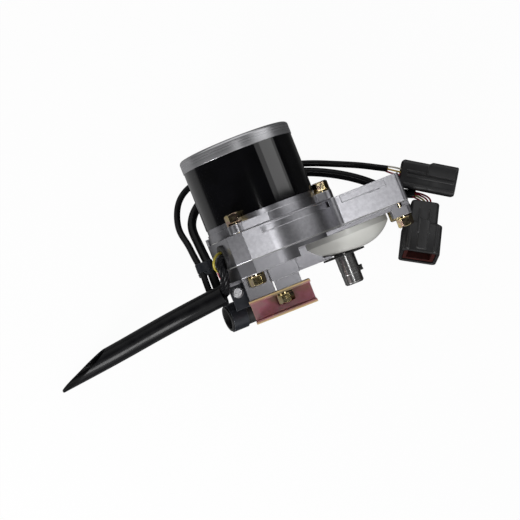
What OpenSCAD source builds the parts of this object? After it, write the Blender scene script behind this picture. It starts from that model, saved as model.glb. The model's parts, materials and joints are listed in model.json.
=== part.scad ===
// Engine governor actuator: a stepping motor drives an output shaft through a two-stage gear train,
// and a geared position sensor reads the shaft back. It lies on its back, with the motor along +Y.
// The origin is on the output shaft's axis, at the shoulder where a lever's hub seats.

/* [Motor] */
// Outside diameter of the motor's tube
motor_d = 79; // [76:0.5:82]
// Length of the motor's tube
tube_len = 42; // [38:1:52]
// Length of the end cap
cap_len = 9; // [9:0.5:12]
// Diameter of the motor's shaft
motor_shaft_d = 8; // [7:0.5:9]
// Thickness of the flange's eared plate
ear_t = 6.2; // [5:0.2:8]
// Height of the round collar on the flange
collar_h = 3.8; // [3:0.2:5]

/* [Gear train] */
// Gear module
gear_module = 0.8; // [0.78:0.01:0.84]
// Teeth on the motor's pinion
pinion_teeth = 14; // [14:1:15]
// Teeth on the idler's large wheel
idler_teeth = 40; // [40:1:41]
// Teeth on the output wheel
output_teeth = 56; // [56:1:58]
// Teeth on the sensor's wheel
sensor_teeth = 28; // [26:1:28]

/* [Gear case] */
// Height of the upper case
case_h = 20; // [20:0.5:24]
// Length of the case from the motor's axis to its left end
left_len = 43; // [41:0.5:48]
// How far the case's round end stands out from the motor's tube
lobe_step = 9.5; // [9:0.5:13]
// Wall thickness of the castings
wall = 4; // [3.5:0.1:4.5]
// Air between the sensor and the case's right wall
end_gap = 3.4; // [2:0.2:6]
// Thickness of the cover's plate
cover_t = 3.4; // [3:0.1:4]
// Depth of the bearing housing below the cover
housing_h = 15.2; // [15:0.2:18]

/* [Sensor] */
// Radius of the position sensor's body
sensor_body_r = 12; // [11:0.5:15]

/* [Output shaft] */
// Diameter of the output shaft's free end
shaft_d = 14; // [13:0.2:14.4]
// Length of the free end past the shoulder where a lever's hub seats
tip_len = 7; // [5:0.5:9]
// Free length of the output shaft
shaft_len = 21; // [19:0.5:26]
// Diameter of the slotted cross pin
cross_pin_d = 4; // [3:0.5:5]

/* [Fasteners] */
// Thread diameter of the case bolts
bolt_d = 6; // [5:0.5:6.5]
// Width across flats of a bolt's head
bolt_af = 10; // [9:0.5:11]
// Height of a bolt's head
bolt_head = 6; // [5:0.5:7]

/* [Bracket] */
// Length of the channel bracket
bracket_len = 43.6; // [40:0.2:48]
// Height of the channel bracket
bracket_h = 16; // [15:0.5:20]
// Sheet thickness of the bracket
sheet_t = 2; // [1.6:0.1:2.4]

/* [Harness] */
// Diameter of the motor's cable
motor_cable_d = 6.4; // [6:0.1:6.8]
// Diameter of the sensor's cable
sensor_cable_d = 4.6; // [4:0.1:5]
// Diameter of the harness sleeve
sleeve_d = 14.4; // [13:0.2:15]

/* [Hidden] */
// Faces on a round
$fn = 64;
// Air between parts that turn past each other
run_gap = 0.3;
// Radial clearance of a shaft in its bearing
bearing_gap = 0.03;
// Radial clearance of a bolt in its hole
bolt_gap = 0.25;
// Small overlap that lets one cut pass through a face
cut = 0.1;

// Gear radii, and the places of the three turning axes round the output shaft
pinion_r = gear_module * pinion_teeth / 2;
idler_r = gear_module * idler_teeth / 2;
small_teeth = 14;
small_r = gear_module * small_teeth / 2;
output_r = gear_module * output_teeth / 2;
sensor_r = gear_module * sensor_teeth / 2;
idler_x = -0.8 * (output_r + small_r);
idler_z = 0.6 * (output_r + small_r);
motor_x = idler_x - idler_r - pinion_r;
motor_z = idler_z;
sensor_x = output_r + sensor_r;
sensor_z = 0;
train_angle = atan2(0.6, 0.8);
// Half widths of a tooth at its root and tip, in degrees for a wheel of one tooth
tooth_root = 120;
tooth_tip = 40;
// Depth of a tooth below the pitch circle and its height above it, in modules
dedendum = 1.15;
addendum = 0.9;
output_turn = 180 - train_angle + 180 / output_teeth;
// Turn of the sensor's wheel that puts its teeth in the output wheel's spaces
sensor_turn = 180 - output_turn * output_teeth / sensor_teeth + 180 / sensor_teeth;

// Levels along the motor's axis, counted from the dust slinger's outer face
slinger_t = 1.2;
housing_y = slinger_t + run_gap;
plate_y = housing_y + housing_h;
split_y = plate_y + cover_t;
case_y = split_y + case_h;
roof_y = case_y - wall;
ear_y = case_y + ear_t;
tube_y = ear_y + collar_h;
cap_y = tube_y + tube_len;
gasket_t = 0.5;

// Outline of the case
motor_r = motor_d / 2;
lobe_r = motor_r + lobe_step;
wheel_gap = 3.3;
block_half = output_r + gear_module + wheel_gap + wall;
block_len = sensor_x + sensor_body_r + end_gap + wall;
floor_z = -block_half;
lobe_top = motor_z + lobe_r;
heel_z = floor_z + 7.5;
// The heel's inner corner keeps clear of the output wheel's teeth
heel_gap = 1;
heel_x = wall + sqrt(pow(output_r + gear_module + heel_gap, 2) - pow(heel_z + wall, 2));
corner_r = 3;
crease_r = 5;
rim_h = 1.2;
// Notch in the cover's right corner, and the ledge along its front
notch_len = 8.6;
notch_h = 3;
notch_in = 5;
ledge_end = 14;
ledge_edge = 0.6;
ledge_in = 1.4;
ledge_up = 20;
groove_h = 4.4;
groove_d = 1.2;

// Bolts of the motor's flange and of the cover
ear_pcd_r = motor_r + 6;
ear_angles = [114, -6, 234];
ear_r = 6.2;
boss_r = bolt_d / 2 + 3.6;
front_bolt = [motor_x + ear_pcd_r * cos(114), motor_z + ear_pcd_r * sin(114)];
right_bolt = [block_len - 6.8, block_half - 8];
heel_bolt = [block_len - 6.8, heel_z + 6.8];
back_bolt = [motor_x + ear_pcd_r * cos(234), motor_z + ear_pcd_r * sin(234)];
washer_t = 1.6;
washer_r = bolt_af / 2 + 0.9;
motor_bolt_len = ear_t + 10;
thick_y = split_y - 9;
cover_bolt_len = split_y - thick_y + 10;
bolt_tip_y = thick_y - washer_t + cover_bolt_len;

// Left end of the case, and the cable hole in it
left_x = motor_x - left_len;
left_a = [left_x + 26, lobe_top];
left_b = [left_x + 15, lobe_top - 6.5];
left_c = [left_x + 1.5, motor_z - 3.5];
left_d = [left_x, motor_z - 20];
left_e = [left_x + 7, floor_z];
hole_t = 0.42;
hole_r = 6.2;
grommet_t = 1;
hole_at = left_b + hole_t * (left_c - left_b);
hole_y = (split_y + roof_y) / 2 + 1;
hole_tilt = atan2(left_b[1] - left_c[1], left_b[0] - left_c[0]) - 90;

// Motor's inner parts
tube_t = 2.6;
stator_r = motor_r - tube_t;
rotor_r = 21;
air_gap = 0.3;
bearing_w = 7;
bearing_ring = 7;
bearing_r = motor_shaft_d / 2 + bearing_ring;
slot_w = 6.8;
slot_deep = 12;
coil_deep = 9.6;
coil_in = 1.4;
end_turn = 4;
stack_in = 7;
rear_bearing_y = cap_y + 0.4;
front_bearing_y = case_y + 1.5;
pilot_r = 15;
pilot_h = 3;
shaft_low_y = roof_y - 12;

// Gear levels
stage_one_y = roof_y - 7;
stage_one_t = 5.5;
stage_two_y = split_y + 1.5;
stage_two_t = stage_one_y - stage_two_y - 1;
axle_r = 3;
bush_r = 4;
// Lightening holes in the output wheel's web
web_r = 4;
web_at = 14.6;

// Output shaft, its bearings and its seal
shaft_r = shaft_d / 2;
seat_r = 7.5;
neck_r = 5;
ball_r = 12;
ball_w = 5;
seal_r = 12;
seal_w = 6;
neck_y = stage_two_y + stage_two_t + 0.4;
neck_bush_r = 7.6;
housing_r = 14.5;
slinger_r = 15.2;
// The shoulder stands just past the cross pin
pin_gap = 0.2;
tip_step = 0.2;
tip_edge = 1;
neck_in = 3;
tip_r = shaft_r - tip_step;
shoulder = shaft_len - tip_len;
cross_pin_y = cross_pin_d / 2 + pin_gap - shoulder;
cross_pin_x = 1.6 - shaft_r;
cross_pin_len = shaft_d + 0.4;
key_w = 4;
key_out = 1.6;

// Bowl-shaped dust cover
bowl_x = 7.2;
bowl_r = 30.4;
bowl_t = 2.2;
bowl_foot = 8.2;
bowl_sag = 27.8;

// Sensor
sensor_body_y = stage_two_y + stage_two_t + 0.6;
sensor_shaft_r = 3;
sensor_gear_y = stage_two_y + 0.4;

// Bracket and the bosses that carry it
bracket_y = -5;
bracket_x = motor_x - 29.6;
bracket_z = motor_z + 6;
bracket_depth = 28;
boss_w = 20;
boss_front = bracket_z + bracket_depth;
bracket_bolt_x = motor_x - 4.9;
bracket_bolt_z = bracket_z + 17;
bracket_bolt_len = 14;

// Cable clip on the left
clip_x = left_x + 8.5;
clip_y = 3.4;
clip_z = motor_z - 3;
clip_t = 1.2;
clip_w = 11;
clip_r = 10;
clip_tilt = 18;
clip_tab_w = 10.8;
clip_tab_low = 12;
clip_tab_up = 5;
clip_screw_r = 2;
clip_screw_len = 8;
clip_loop = [left_x + 1, -11.6, clip_z + clip_t - clip_r];
cushion_t = 1.6;
cushion_len = 20;

// Connectors: place of the cable end, direction and floor level
plug_floor = floor_z;
sensor_plug_at = [block_len + 7.4, 40.4];
sensor_plug_turn = -32.5;
sensor_plug_len = 40;
sensor_plug_w = 21;
sensor_plug_h = 18;
motor_plug_at = [block_len + 12.1, 7.9];
motor_plug_turn = -120;
// The stiff wires hold the mouth of the motor's connector up
motor_plug_pitch = 22;
motor_plug_len = 40;
motor_plug_w = 20;
motor_plug_mouth = 27;
motor_plug_h = 22;
plug_wall = 2;
// How deep each connector's seal sits in its mouth
sensor_seal_in = 13;
motor_seal_in = 1.4;

// Routes of the cables, the sleeve and the loose wires, along their centre lines
sensor_z0 = floor_z + sensor_cable_d / 2;
motor_z0 = floor_z + motor_cable_d / 2;
sensor_route = [
    [motor_x - 53, 9, 8], [motor_x - 53, 18, 5], [motor_x - 53, 27, 0], [motor_x - 54.5, 37, -6],
    [motor_x - 56, 48, -13], [motor_x - 58, 58, -19], [motor_x - 56, 70, -24], [motor_x - 50, 80, -27],
    [motor_x - 40, 86, sensor_z0], [motor_x - 26, 87, sensor_z0], [-50, 84, sensor_z0],
    [-25, 78, sensor_z0], [-2, 72, sensor_z0], [20, 63, sensor_z0],
    [block_len - 15, 54.5, sensor_z0 + 1], [block_len - 7, 50, sensor_z0 + 3],
    [block_len, 46, sensor_z0 + 5]];
motor_route = [
    [motor_x - 47, 9, 4], [motor_x - 47, 18, 2], [motor_x - 47, 27, -2], [motor_x - 48, 37, -9],
    [motor_x - 49, 48, -16], [motor_x - 49, 58, -22], [motor_x - 45, 66, -26],
    [motor_x - 38, 72, motor_z0], [motor_x - 24, 76, motor_z0], [-45, 75, motor_z0],
    [-20, 71, motor_z0], [-2, 65.5, motor_z0], [14, 58, motor_z0], [block_len - 25.4, 49.6, motor_z0],
    [block_len - 13.6, 40, motor_z0], [block_len - 3, 30.2, motor_z0],
    [block_len + 4.6, 25.4, motor_z0 + 1], [block_len + 12, 22, motor_z0 + 3]];
sleeve_route = [
    [motor_x - 44, 5.6, 22], [motor_x - 68, 3, 17], [motor_x - 96, -0.5, 6], [motor_x - 124, -4.6, -8],
    [motor_x - 180, -11.6, floor_z + sleeve_d / 2 + 0.3]];
sleeve_cut = 46;
bundle_d = 7.4;
wire_d = 1.8;
core_d = 1.3;
core_pitch = 1.5;
bundle_route = [
    [motor_x - 30.6, 27.9, 39.9], [motor_x - 36, 27.9, 41.5], [motor_x - 38.2, 24.4, 42.6],
    [motor_x - 38.4, 20, 41.6], [motor_x - 39.2, 15, 37.6], [motor_x - 41.2, 10, 30.4],
    [motor_x - 43, 6, 21]];
yellow_route = [
    [motor_x - 31, 32.8, 38.6], [motor_x - 36, 32.8, 40], [motor_x - 39.2, 31.6, 42.4],
    [motor_x - 41.6, 28.6, 43.2], [motor_x - 42.6, 25.2, 41.4], [motor_x - 41.4, 21.6, 36.6],
    [motor_x - 39.6, 17.5, 32.6], [motor_x - 40, 13, 29.4], [motor_x - 42.6, 9.4, 26.6]];
red_route = [
    [motor_x - 30.4, 27.2, 35.1], [motor_x - 37, 26.9, 36.4], [motor_x - 40.6, 24, 34.4],
    [motor_x - 41.8, 19.6, 31], [motor_x - 41.4, 15.2, 28.4], [motor_x - 42, 11.6, 26.4],
    [motor_x - 43.4, 8.6, 24.6]];
sensor_lead_from = [block_len - 2, 47.2, sensor_z0 + 4.4];
sensor_lead_to = [block_len + 13, 36.4, floor_z + 9];
motor_lead_from = [block_len + 10.2, 22.8, motor_z0 + 2.4];
motor_lead_to = [block_len + 10.9, 5.9, floor_z + 12.8];

module y_round(x, z, y0, y1, r) {
    translate([x, y1, z]) rotate([90, 0, 0]) cylinder(h = y1 - y0, r = r);
}

module y_prism(y0, y1) {
    translate([0, y1, 0]) rotate([90, 0, 0]) linear_extrude(height = y1 - y0) children();
}

module y_ring(x, z, y0, y1, r_in, r_out) {
    difference() {
        y_round(x, z, y0, y1, r_out);
        y_round(x, z, y0 - cut, y1 + cut, r_in);
    }
}

module box(x0, x1, y0, y1, z0, z1) {
    translate([x0, y0, z0]) cube([x1 - x0, y1 - y0, z1 - z0]);
}

// A spur wheel's outline: straight-sided teeth with a flat tip, turned by an angle
function tooth_ring(m, n, turn) = [for (i = [0:n - 1]) let(
        a = turn + i * 360 / n,
        root = tooth_root / n,
        tip = tooth_tip / n,
        r_root = m * (n / 2 - dedendum),
        r_tip = m * (n / 2 + addendum))
    each [[r_root * cos(a - root), r_root * sin(a - root)], [r_tip * cos(a - tip), r_tip * sin(a - tip)],
        [r_tip * cos(a + tip), r_tip * sin(a + tip)], [r_root * cos(a + root), r_root * sin(a + root)]]];

module wheel(x, z, y0, t, m, n, turn) {
    translate([x, 0, z]) y_prism(y0, y0 + t) polygon(tooth_ring(m, n, turn));
}

// Swept round tube along a route; the far end may be cut on the slant
function unit(v) = v / norm(v);
function tangent(p, i) = unit(p[min(i + 1, len(p) - 1)] - p[max(i - 1, 0)]);
function side(t) = unit(cross(t, [0, 0, 1]));
function ring_at(p, i, r, n, slant) = let(t = tangent(p, i), s = side(t), u = cross(s, t))
    [for (k = [0:n - 1]) let(a = 360 * k / n)
        p[i] + r * (cos(a) * s + sin(a) * u) - (i == len(p) - 1 ? slant * (1 - cos(a + 155)) / 2 : 0) * t];

module tube(p, d, n = 10, slant = 0) {
    m = len(p);
    points = [for (i = [0:m - 1]) each ring_at(p, i, d / 2, n, slant)];
    faces = concat(
        [[for (k = [0:n - 1]) k]],
        [for (i = [0:m - 2]) for (k = [0:n - 1]) [i * n + k, (i + 1) * n + k, (i + 1) * n + (k + 1) % n]],
        [for (i = [0:m - 2]) for (k = [0:n - 1]) [i * n + k, (i + 1) * n + (k + 1) % n, i * n + (k + 1) % n]],
        [[for (k = [n - 1:-1:0]) (m - 1) * n + k]]);
    polyhedron(points = points, faces = faces, convexity = 6);
}

// Hex bolt along the motor's axis: way is 1 with the head above the seat, -1 with the head below it
module hex_bolt(x, z, y, way, length) {
    translate([x, y, z]) rotate([-90 * way, 0, 0]) {
        difference() {
            cylinder(h = bolt_head, r = bolt_af / sqrt(3), $fn = 6);
            translate([0, 0, bolt_head - 1]) difference() {
                cylinder(h = 1 + cut, r = bolt_af);
                translate([0, 0, -cut]) cylinder(h = 1 + 3 * cut, r1 = bolt_af / sqrt(3) + 0.2,
                    r2 = bolt_af / 2 - 0.3);
            }
        }
        translate([0, 0, -length]) cylinder(h = length + cut, r = bolt_d / 2);
    }
}

module washer(x, z, y, way) {
    y0 = way > 0 ? y : y - washer_t;
    y_ring(x, z, y0, y0 + washer_t, bolt_d / 2 + bolt_gap, washer_r);
}

// Outline of the case seen along the motor's axis
module case_outline() {
    intersection() {
        union() {
            intersection() {
                translate([motor_x, motor_z]) circle(r = lobe_r, $fn = 96);
                translate([left_a[0], floor_z]) square([2 * lobe_r, lobe_top - floor_z]);
            }
            polygon([[motor_x, lobe_top], left_a, left_b, left_c, left_d, left_e, [motor_x, floor_z]]);
            translate([motor_x, heel_z]) square([block_len - corner_r - motor_x, block_half - heel_z]);
            translate([motor_x, floor_z]) square([heel_x - motor_x, block_half - floor_z]);
            translate([heel_x, heel_z]) square([block_len - heel_x, block_half - corner_r - heel_z]);
            translate([block_len - corner_r, block_half - corner_r]) circle(r = corner_r);
            crease();
        }
        translate([left_d[0] - 1, floor_z]) square([block_len - left_d[0] + 2, lobe_top - floor_z]);
    }
}

// Hollow fillet between the round lobe and the flat block
module crease() {
    away = lobe_r + crease_r;
    rise = block_half + crease_r - motor_z;
    reach = sqrt(away * away - rise * rise);
    foot = sqrt(lobe_r * lobe_r - pow(block_half - motor_z, 2));
    difference() {
        translate([motor_x + foot - 4, block_half - 1]) square([reach - foot + 4,
            rise + motor_z - block_half]);
        translate([motor_x + reach, block_half + crease_r]) circle(r = crease_r);
    }
}

// Hollow inside the case
module case_hollow() {
    difference() {
        union() {
            intersection() {
                translate([motor_x, motor_z]) circle(r = lobe_r - wall, $fn = 96);
                translate([left_a[0] + 2, floor_z + wall]) square([2 * lobe_r, 2 * lobe_r]);
            }
            polygon([[motor_x, lobe_top - wall], left_a + [1.4, -wall], left_b + [4.2, -wall + 1],
                left_c + [wall + 0.4, 0],
                left_d + [wall + 0.4, 0], left_e + [wall, wall], [motor_x, floor_z + wall]]);
            translate([motor_x, heel_z + wall]) square([block_len - wall - motor_x,
                block_half - heel_z - 2 * wall]);
            translate([motor_x, floor_z + wall]) square([heel_x - wall - motor_x,
                block_half - floor_z - 2 * wall]);
        }
        for (p = [front_bolt, right_bolt, heel_bolt, back_bolt]) translate(p) circle(r = boss_r);
    }
}

module motor_cap() {
    color([0.62, 0.62, 0.64]) difference() {
        translate([motor_x, 0, motor_z]) rotate([-90, 0, 0]) rotate_extrude($fn = 96) {
            translate([0, cap_y]) square([motor_r + 0.4, cap_len - 2.4]);
            translate([0, cap_y]) square([motor_r - 2, cap_len]);
            translate([motor_r - 2, cap_y + cap_len - 2.4]) circle(r = 2.4);
        }
        y_round(motor_x, motor_z, cap_y - cut, rear_bearing_y + bearing_w + 0.4, bearing_r);
        y_ring(motor_x, motor_z, cap_y - cut, cap_y + 5, bearing_r + 3, stator_r - 1);
    }
}

module motor_tube() {
    color([0.03, 0.03, 0.035]) y_ring(motor_x, motor_z, tube_y, cap_y, stator_r, motor_r);
}

module motor_flange() {
    color([0.66, 0.67, 0.7]) difference() {
        union() {
            y_round(motor_x, motor_z, ear_y, tube_y, motor_r - 0.4);
            y_round(motor_x, motor_z, case_y + gasket_t, ear_y, motor_r + 0.3);
            y_prism(case_y + gasket_t, ear_y) for (a = ear_angles) ear_shape(a);
            box(motor_x - 22, motor_x + 4, case_y + gasket_t, ear_y, motor_z + 20, lobe_top - 2.6);
            y_round(motor_x, motor_z, case_y - pilot_h, case_y + 1, pilot_r);
        }
        y_round(motor_x, motor_z, front_bearing_y, tube_y + cut, bearing_r);
        y_round(motor_x, motor_z, case_y - pilot_h - cut, tube_y, motor_shaft_d / 2 + 2);
        y_ring(motor_x, motor_z, ear_y - 2, tube_y + cut, bearing_r + 4, stator_r - 2);
        for (a = ear_angles) y_round(motor_x + ear_pcd_r * cos(a), motor_z + ear_pcd_r * sin(a),
            case_y - cut, tube_y + cut, bolt_d / 2 + bolt_gap);
    }
}

// One ear of the flange, from the round plate out to the bolt
module ear_shape(a) {
    translate([motor_x, motor_z]) rotate(a) {
        translate([ear_pcd_r, 0]) circle(r = ear_r);
        translate([ear_pcd_r - 16, -ear_r]) square([16, 2 * ear_r]);
    }
}

module flange_gasket() {
    color([0.75, 0.75, 0.72]) y_prism(case_y, case_y + gasket_t) difference() {
        translate([motor_x, motor_z]) circle(r = motor_r);
        translate([motor_x, motor_z]) circle(r = pilot_r + 0.2);
    }
}

module stator_stack() {
    color([0.35, 0.36, 0.38]) y_prism(tube_y + stack_in, cap_y - stack_in) difference() {
        translate([motor_x, motor_z]) circle(r = stator_r, $fn = 96);
        translate([motor_x, motor_z]) circle(r = rotor_r + air_gap, $fn = 96);
        for (i = [0:7]) translate([motor_x, motor_z]) rotate(22.5 + 45 * i)
            translate([rotor_r - 1, -slot_w / 2]) square([slot_deep, slot_w]);
    }
}

module stator_coils() {
    color([0.72, 0.4, 0.2]) y_prism(tube_y + stack_in - end_turn, cap_y - stack_in + end_turn) for (i = [0:7])
        translate([motor_x, motor_z]) rotate(22.5 + 45 * i)
            translate([rotor_r + coil_in, -slot_w / 2]) square([coil_deep, slot_w]);
}

module rotor() {
    color([0.4, 0.41, 0.43]) y_ring(motor_x, motor_z, tube_y + stack_in, cap_y - stack_in,
        motor_shaft_d / 2, rotor_r);
}

module motor_shaft() {
    color([0.7, 0.7, 0.72]) y_round(motor_x, motor_z, shaft_low_y, rear_bearing_y + bearing_w,
        motor_shaft_d / 2);
}

module motor_bearing(y) {
    difference() {
        y_round(motor_x, motor_z, y, y + bearing_w, bearing_r);
        y_round(motor_x, motor_z, y - cut, y + bearing_w + cut, motor_shaft_d / 2 + bearing_gap);
        y_ring(motor_x, motor_z, y - cut, y + 0.6, motor_shaft_d / 2 + 2, bearing_r - 2);
    }
}

module rear_bearing() {
    color([0.72, 0.73, 0.75]) motor_bearing(rear_bearing_y);
}

module front_bearing() {
    color([0.72, 0.73, 0.75]) motor_bearing(front_bearing_y);
}

module preload_washer() {
    color([0.6, 0.6, 0.62])
        y_ring(motor_x, motor_z, rear_bearing_y + bearing_w, rear_bearing_y + bearing_w + 0.4,
            bearing_r - 3, bearing_r - 0.2);
}

module pinion() {
    color([0.68, 0.66, 0.6]) difference() {
        wheel(motor_x, motor_z, stage_one_y - 0.6, stage_one_t + 1.2, gear_module, pinion_teeth, 0);
        y_round(motor_x, motor_z, stage_one_y - 1, stage_one_y + stage_one_t + 1, motor_shaft_d / 2);
    }
}

module motor_bolts() {
    color([0.72, 0.58, 0.28]) for (a = ear_angles) hex_bolt(motor_x + ear_pcd_r * cos(a),
        motor_z + ear_pcd_r * sin(a),
        ear_y + washer_t, 1, motor_bolt_len);
}

module gear_case() {
    color([0.62, 0.63, 0.66]) difference() {
        union() {
            y_prism(split_y + gasket_t, case_y - rim_h - groove_h + cut) case_outline();
            y_prism(case_y - rim_h - groove_h, case_y - rim_h + cut) case_rim();
            y_prism(case_y - rim_h, case_y) case_outline();
            box(left_c[0] - 1.4, left_c[0] + 8, case_y - 1, ear_y - 1, floor_z + 3, motor_z - 16);
        }
        difference() {
            y_prism(split_y - cut, roof_y) case_hollow();
            y_round(0, 0, neck_y + 2, roof_y + cut, neck_bush_r + 2.6);
            y_round(idler_x, idler_z, stage_one_y + stage_one_t + 0.5, roof_y + cut, axle_r + 3);
            y_round(motor_x + ear_pcd_r * cos(ear_angles[1]), motor_z + ear_pcd_r * sin(ear_angles[1]),
                ear_y + washer_t - motor_bolt_len - 2, roof_y + cut, boss_r);
        }
        y_round(motor_x, motor_z, roof_y - cut, case_y + cut, pilot_r);
        y_round(motor_x, motor_z, ear_y - ear_t + 0.01, tube_y + 4, motor_r + 4);
        y_round(0, 0, neck_y, case_y - 2, neck_bush_r);
        y_round(idler_x, idler_z, roof_y - 7, case_y - 1.4, axle_r);
        for (a = ear_angles) y_round(motor_x + ear_pcd_r * cos(a), motor_z + ear_pcd_r * sin(a),
            ear_y + washer_t - motor_bolt_len - 1, case_y + cut, bolt_d / 2);
        for (p = [front_bolt, right_bolt, heel_bolt, back_bolt]) y_round(p[0], p[1],
            split_y - cut, bolt_tip_y + 1, bolt_d / 2);
        cable_bore(hole_r, 8);
        sensor_screw_holes();
        box(block_len - 24, block_len - 16, case_y - 6.2, case_y - 5.4, block_half - 1.4, block_half + 1);
        box(10, block_len - 11, case_y - rim_h - groove_h, case_y - rim_h, block_half - 0.4, block_half + 1);
    }
}

// Rim of the case under the motor's flange: a shallow groove runs round the lobe below it
module case_rim() {
    difference() {
        case_outline();
        intersection() {
            difference() {
                translate([motor_x, motor_z]) circle(r = lobe_r + 1, $fn = 96);
                translate([motor_x, motor_z]) circle(r = lobe_r - groove_d, $fn = 96);
            }
            translate([motor_x - 4, motor_z]) square([lobe_r, lobe_r]);
        }
    }
}

// Round cut or solid square to the left end's face, at the cable hole
module cable_bore(r, deep, out = 2) {
    translate([hole_at[0], hole_y, hole_at[1]]) rotate([0, -90 - hole_tilt, 0])
        translate([0, 0, -deep]) cylinder(h = deep + out, r = r);
}

module cable_grommet() {
    color([0.02, 0.02, 0.02]) difference() {
        union() {
            cable_bore(hole_r, 4, 0.1);
            cable_bore(hole_r + 2.2, 0, 1.8);
        }
        cable_bore(hole_r - grommet_t, 9, 4);
    }
}

module case_gasket() {
    color([0.3, 0.3, 0.31]) y_prism(split_y, split_y + gasket_t) difference() {
        case_outline();
        case_hollow();
        for (p = [front_bolt, right_bolt, heel_bolt, back_bolt]) translate(p)
            circle(r = bolt_d / 2 + bolt_gap);
    }
}

module lower_cover() {
    color([0.6, 0.61, 0.64]) difference() {
        union() {
            y_prism(plate_y, split_y) case_outline();
            y_prism(thick_y, plate_y + cut) intersection() {
                case_outline();
                translate([left_d[0], motor_z + 2]) square([motor_x + 14 - left_d[0], 2 * lobe_r]);
            }
            y_prism(thick_y, plate_y + cut) intersection() {
                case_outline();
                union() {
                    translate([block_len - 14, block_half - 15]) square([15, 16]);
                    translate(back_bolt - [boss_r, 14]) square([2 * boss_r, 14 + boss_r]);
                }
            }
            y_round(0, 0, housing_y + 2.2, plate_y + cut, housing_r);
            box(motor_x + 11, -8, housing_y, plate_y + cut, floor_z + 2, 2);
            box(motor_x - boss_w / 2, motor_x + boss_w / 2, 2, thick_y + cut, bracket_z, boss_front);
            box(motor_x - boss_w / 2 + 1.2, motor_x + boss_w / 2 - 1.2, bracket_y, 2 + cut, bracket_z,
                boss_front - 1.4);
            box(bracket_x + 1, motor_x - boss_w / 2 + cut, bracket_y, thick_y + cut, bracket_z,
                boss_front - 9);
            box(clip_x - 5.6, bracket_x + 1 + cut, clip_y - 4.6, plate_y + cut, clip_z - 14, clip_z);
        }
        y_round(0, 0, split_y - ball_w - 1, split_y + cut, ball_r);
        y_round(0, 0, housing_y, split_y, seat_r + 1);
        y_round(0, 0, housing_y + 2.2 - cut, housing_y + 2.2 + seal_w, seal_r);
        y_round(idler_x, idler_z, plate_y + 1, split_y + cut, axle_r);
        for (p = [front_bolt, right_bolt, heel_bolt, back_bolt])
            y_round(p[0], p[1], thick_y - cut, split_y + cut, bolt_d / 2 + bolt_gap);
        y_round(bracket_bolt_x, bracket_bolt_z, bracket_y - cut, bracket_y + bracket_bolt_len, bolt_d / 2);
        translate([clip_x, clip_y, clip_z - clip_screw_len - 2])
            cylinder(h = clip_screw_len + 3, r = clip_screw_r);
        box(block_len - notch_len, block_len + 1, split_y - notch_h, split_y + cut, block_half - notch_in,
            block_half + 1);
        box(motor_x + ledge_end, block_len - ledge_end, plate_y - cut, split_y - ledge_edge,
            block_half - ledge_in, block_half + ledge_up);
    }
}

module cover_bolts() {
    color([0.72, 0.58, 0.28]) {
        for (p = [front_bolt, right_bolt, back_bolt]) hex_bolt(p[0], p[1], thick_y - washer_t, -1,
            cover_bolt_len);
        hex_bolt(heel_bolt[0], heel_bolt[1], plate_y - washer_t, -1, bolt_tip_y - plate_y + washer_t);
    }
}

module bolt_washers() {
    color([0.74, 0.6, 0.3]) {
        for (a = ear_angles) washer(motor_x + ear_pcd_r * cos(a), motor_z + ear_pcd_r * sin(a), ear_y, 1);
        for (p = [front_bolt, right_bolt, back_bolt]) washer(p[0], p[1], thick_y, -1);
        washer(heel_bolt[0], heel_bolt[1], plate_y, -1);
        washer(bracket_bolt_x, bracket_bolt_z, bracket_y - sheet_t, -1);
    }
}

module idler_axle() {
    color([0.7, 0.7, 0.72]) y_round(idler_x, idler_z, plate_y + 1, case_y - 1.4, axle_r);
}

module idler_wheel() {
    color([0.7, 0.68, 0.62]) difference() {
        union() {
            wheel(idler_x, idler_z, stage_one_y, stage_one_t, gear_module, idler_teeth,
                180 + 180 / idler_teeth);
            wheel(idler_x, idler_z, stage_two_y, stage_one_y - stage_two_y + cut, gear_module,
                small_teeth, -train_angle);
        }
        y_round(idler_x, idler_z, stage_two_y - cut, stage_one_y + stage_one_t + cut, bush_r);
    }
}

module idler_bush() {
    color([0.72, 0.52, 0.28])
        y_ring(idler_x, idler_z, stage_two_y, stage_one_y + stage_one_t, axle_r + bearing_gap, bush_r);
}

module idler_washers() {
    color([0.66, 0.66, 0.68]) {
        y_ring(idler_x, idler_z, split_y, stage_two_y - run_gap, axle_r, bush_r + 1.4);
        y_ring(idler_x, idler_z, stage_one_y + stage_one_t + run_gap, stage_one_y + stage_one_t + 0.5,
            axle_r, axle_r + 2);
    }
}

module output_wheel() {
    color([0.7, 0.68, 0.62]) difference() {
        wheel(0, 0, stage_two_y, stage_two_t, gear_module, output_teeth, output_turn);
        y_round(0, 0, stage_two_y - cut, stage_two_y + stage_two_t + cut, seat_r);
        box(-key_w / 2, key_w / 2, stage_two_y - cut, stage_two_y + stage_two_t + cut, 0, seat_r + key_out);
        for (a = [45:90:315]) y_round(web_at * cos(a), web_at * sin(a), stage_two_y - cut,
            stage_two_y + stage_two_t + cut, web_r);
    }
}

module drive_key() {
    color([0.6, 0.6, 0.62])
        box(-key_w / 2, key_w / 2, stage_two_y, stage_two_y + stage_two_t, seat_r - 2, seat_r + key_out);
}

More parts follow.
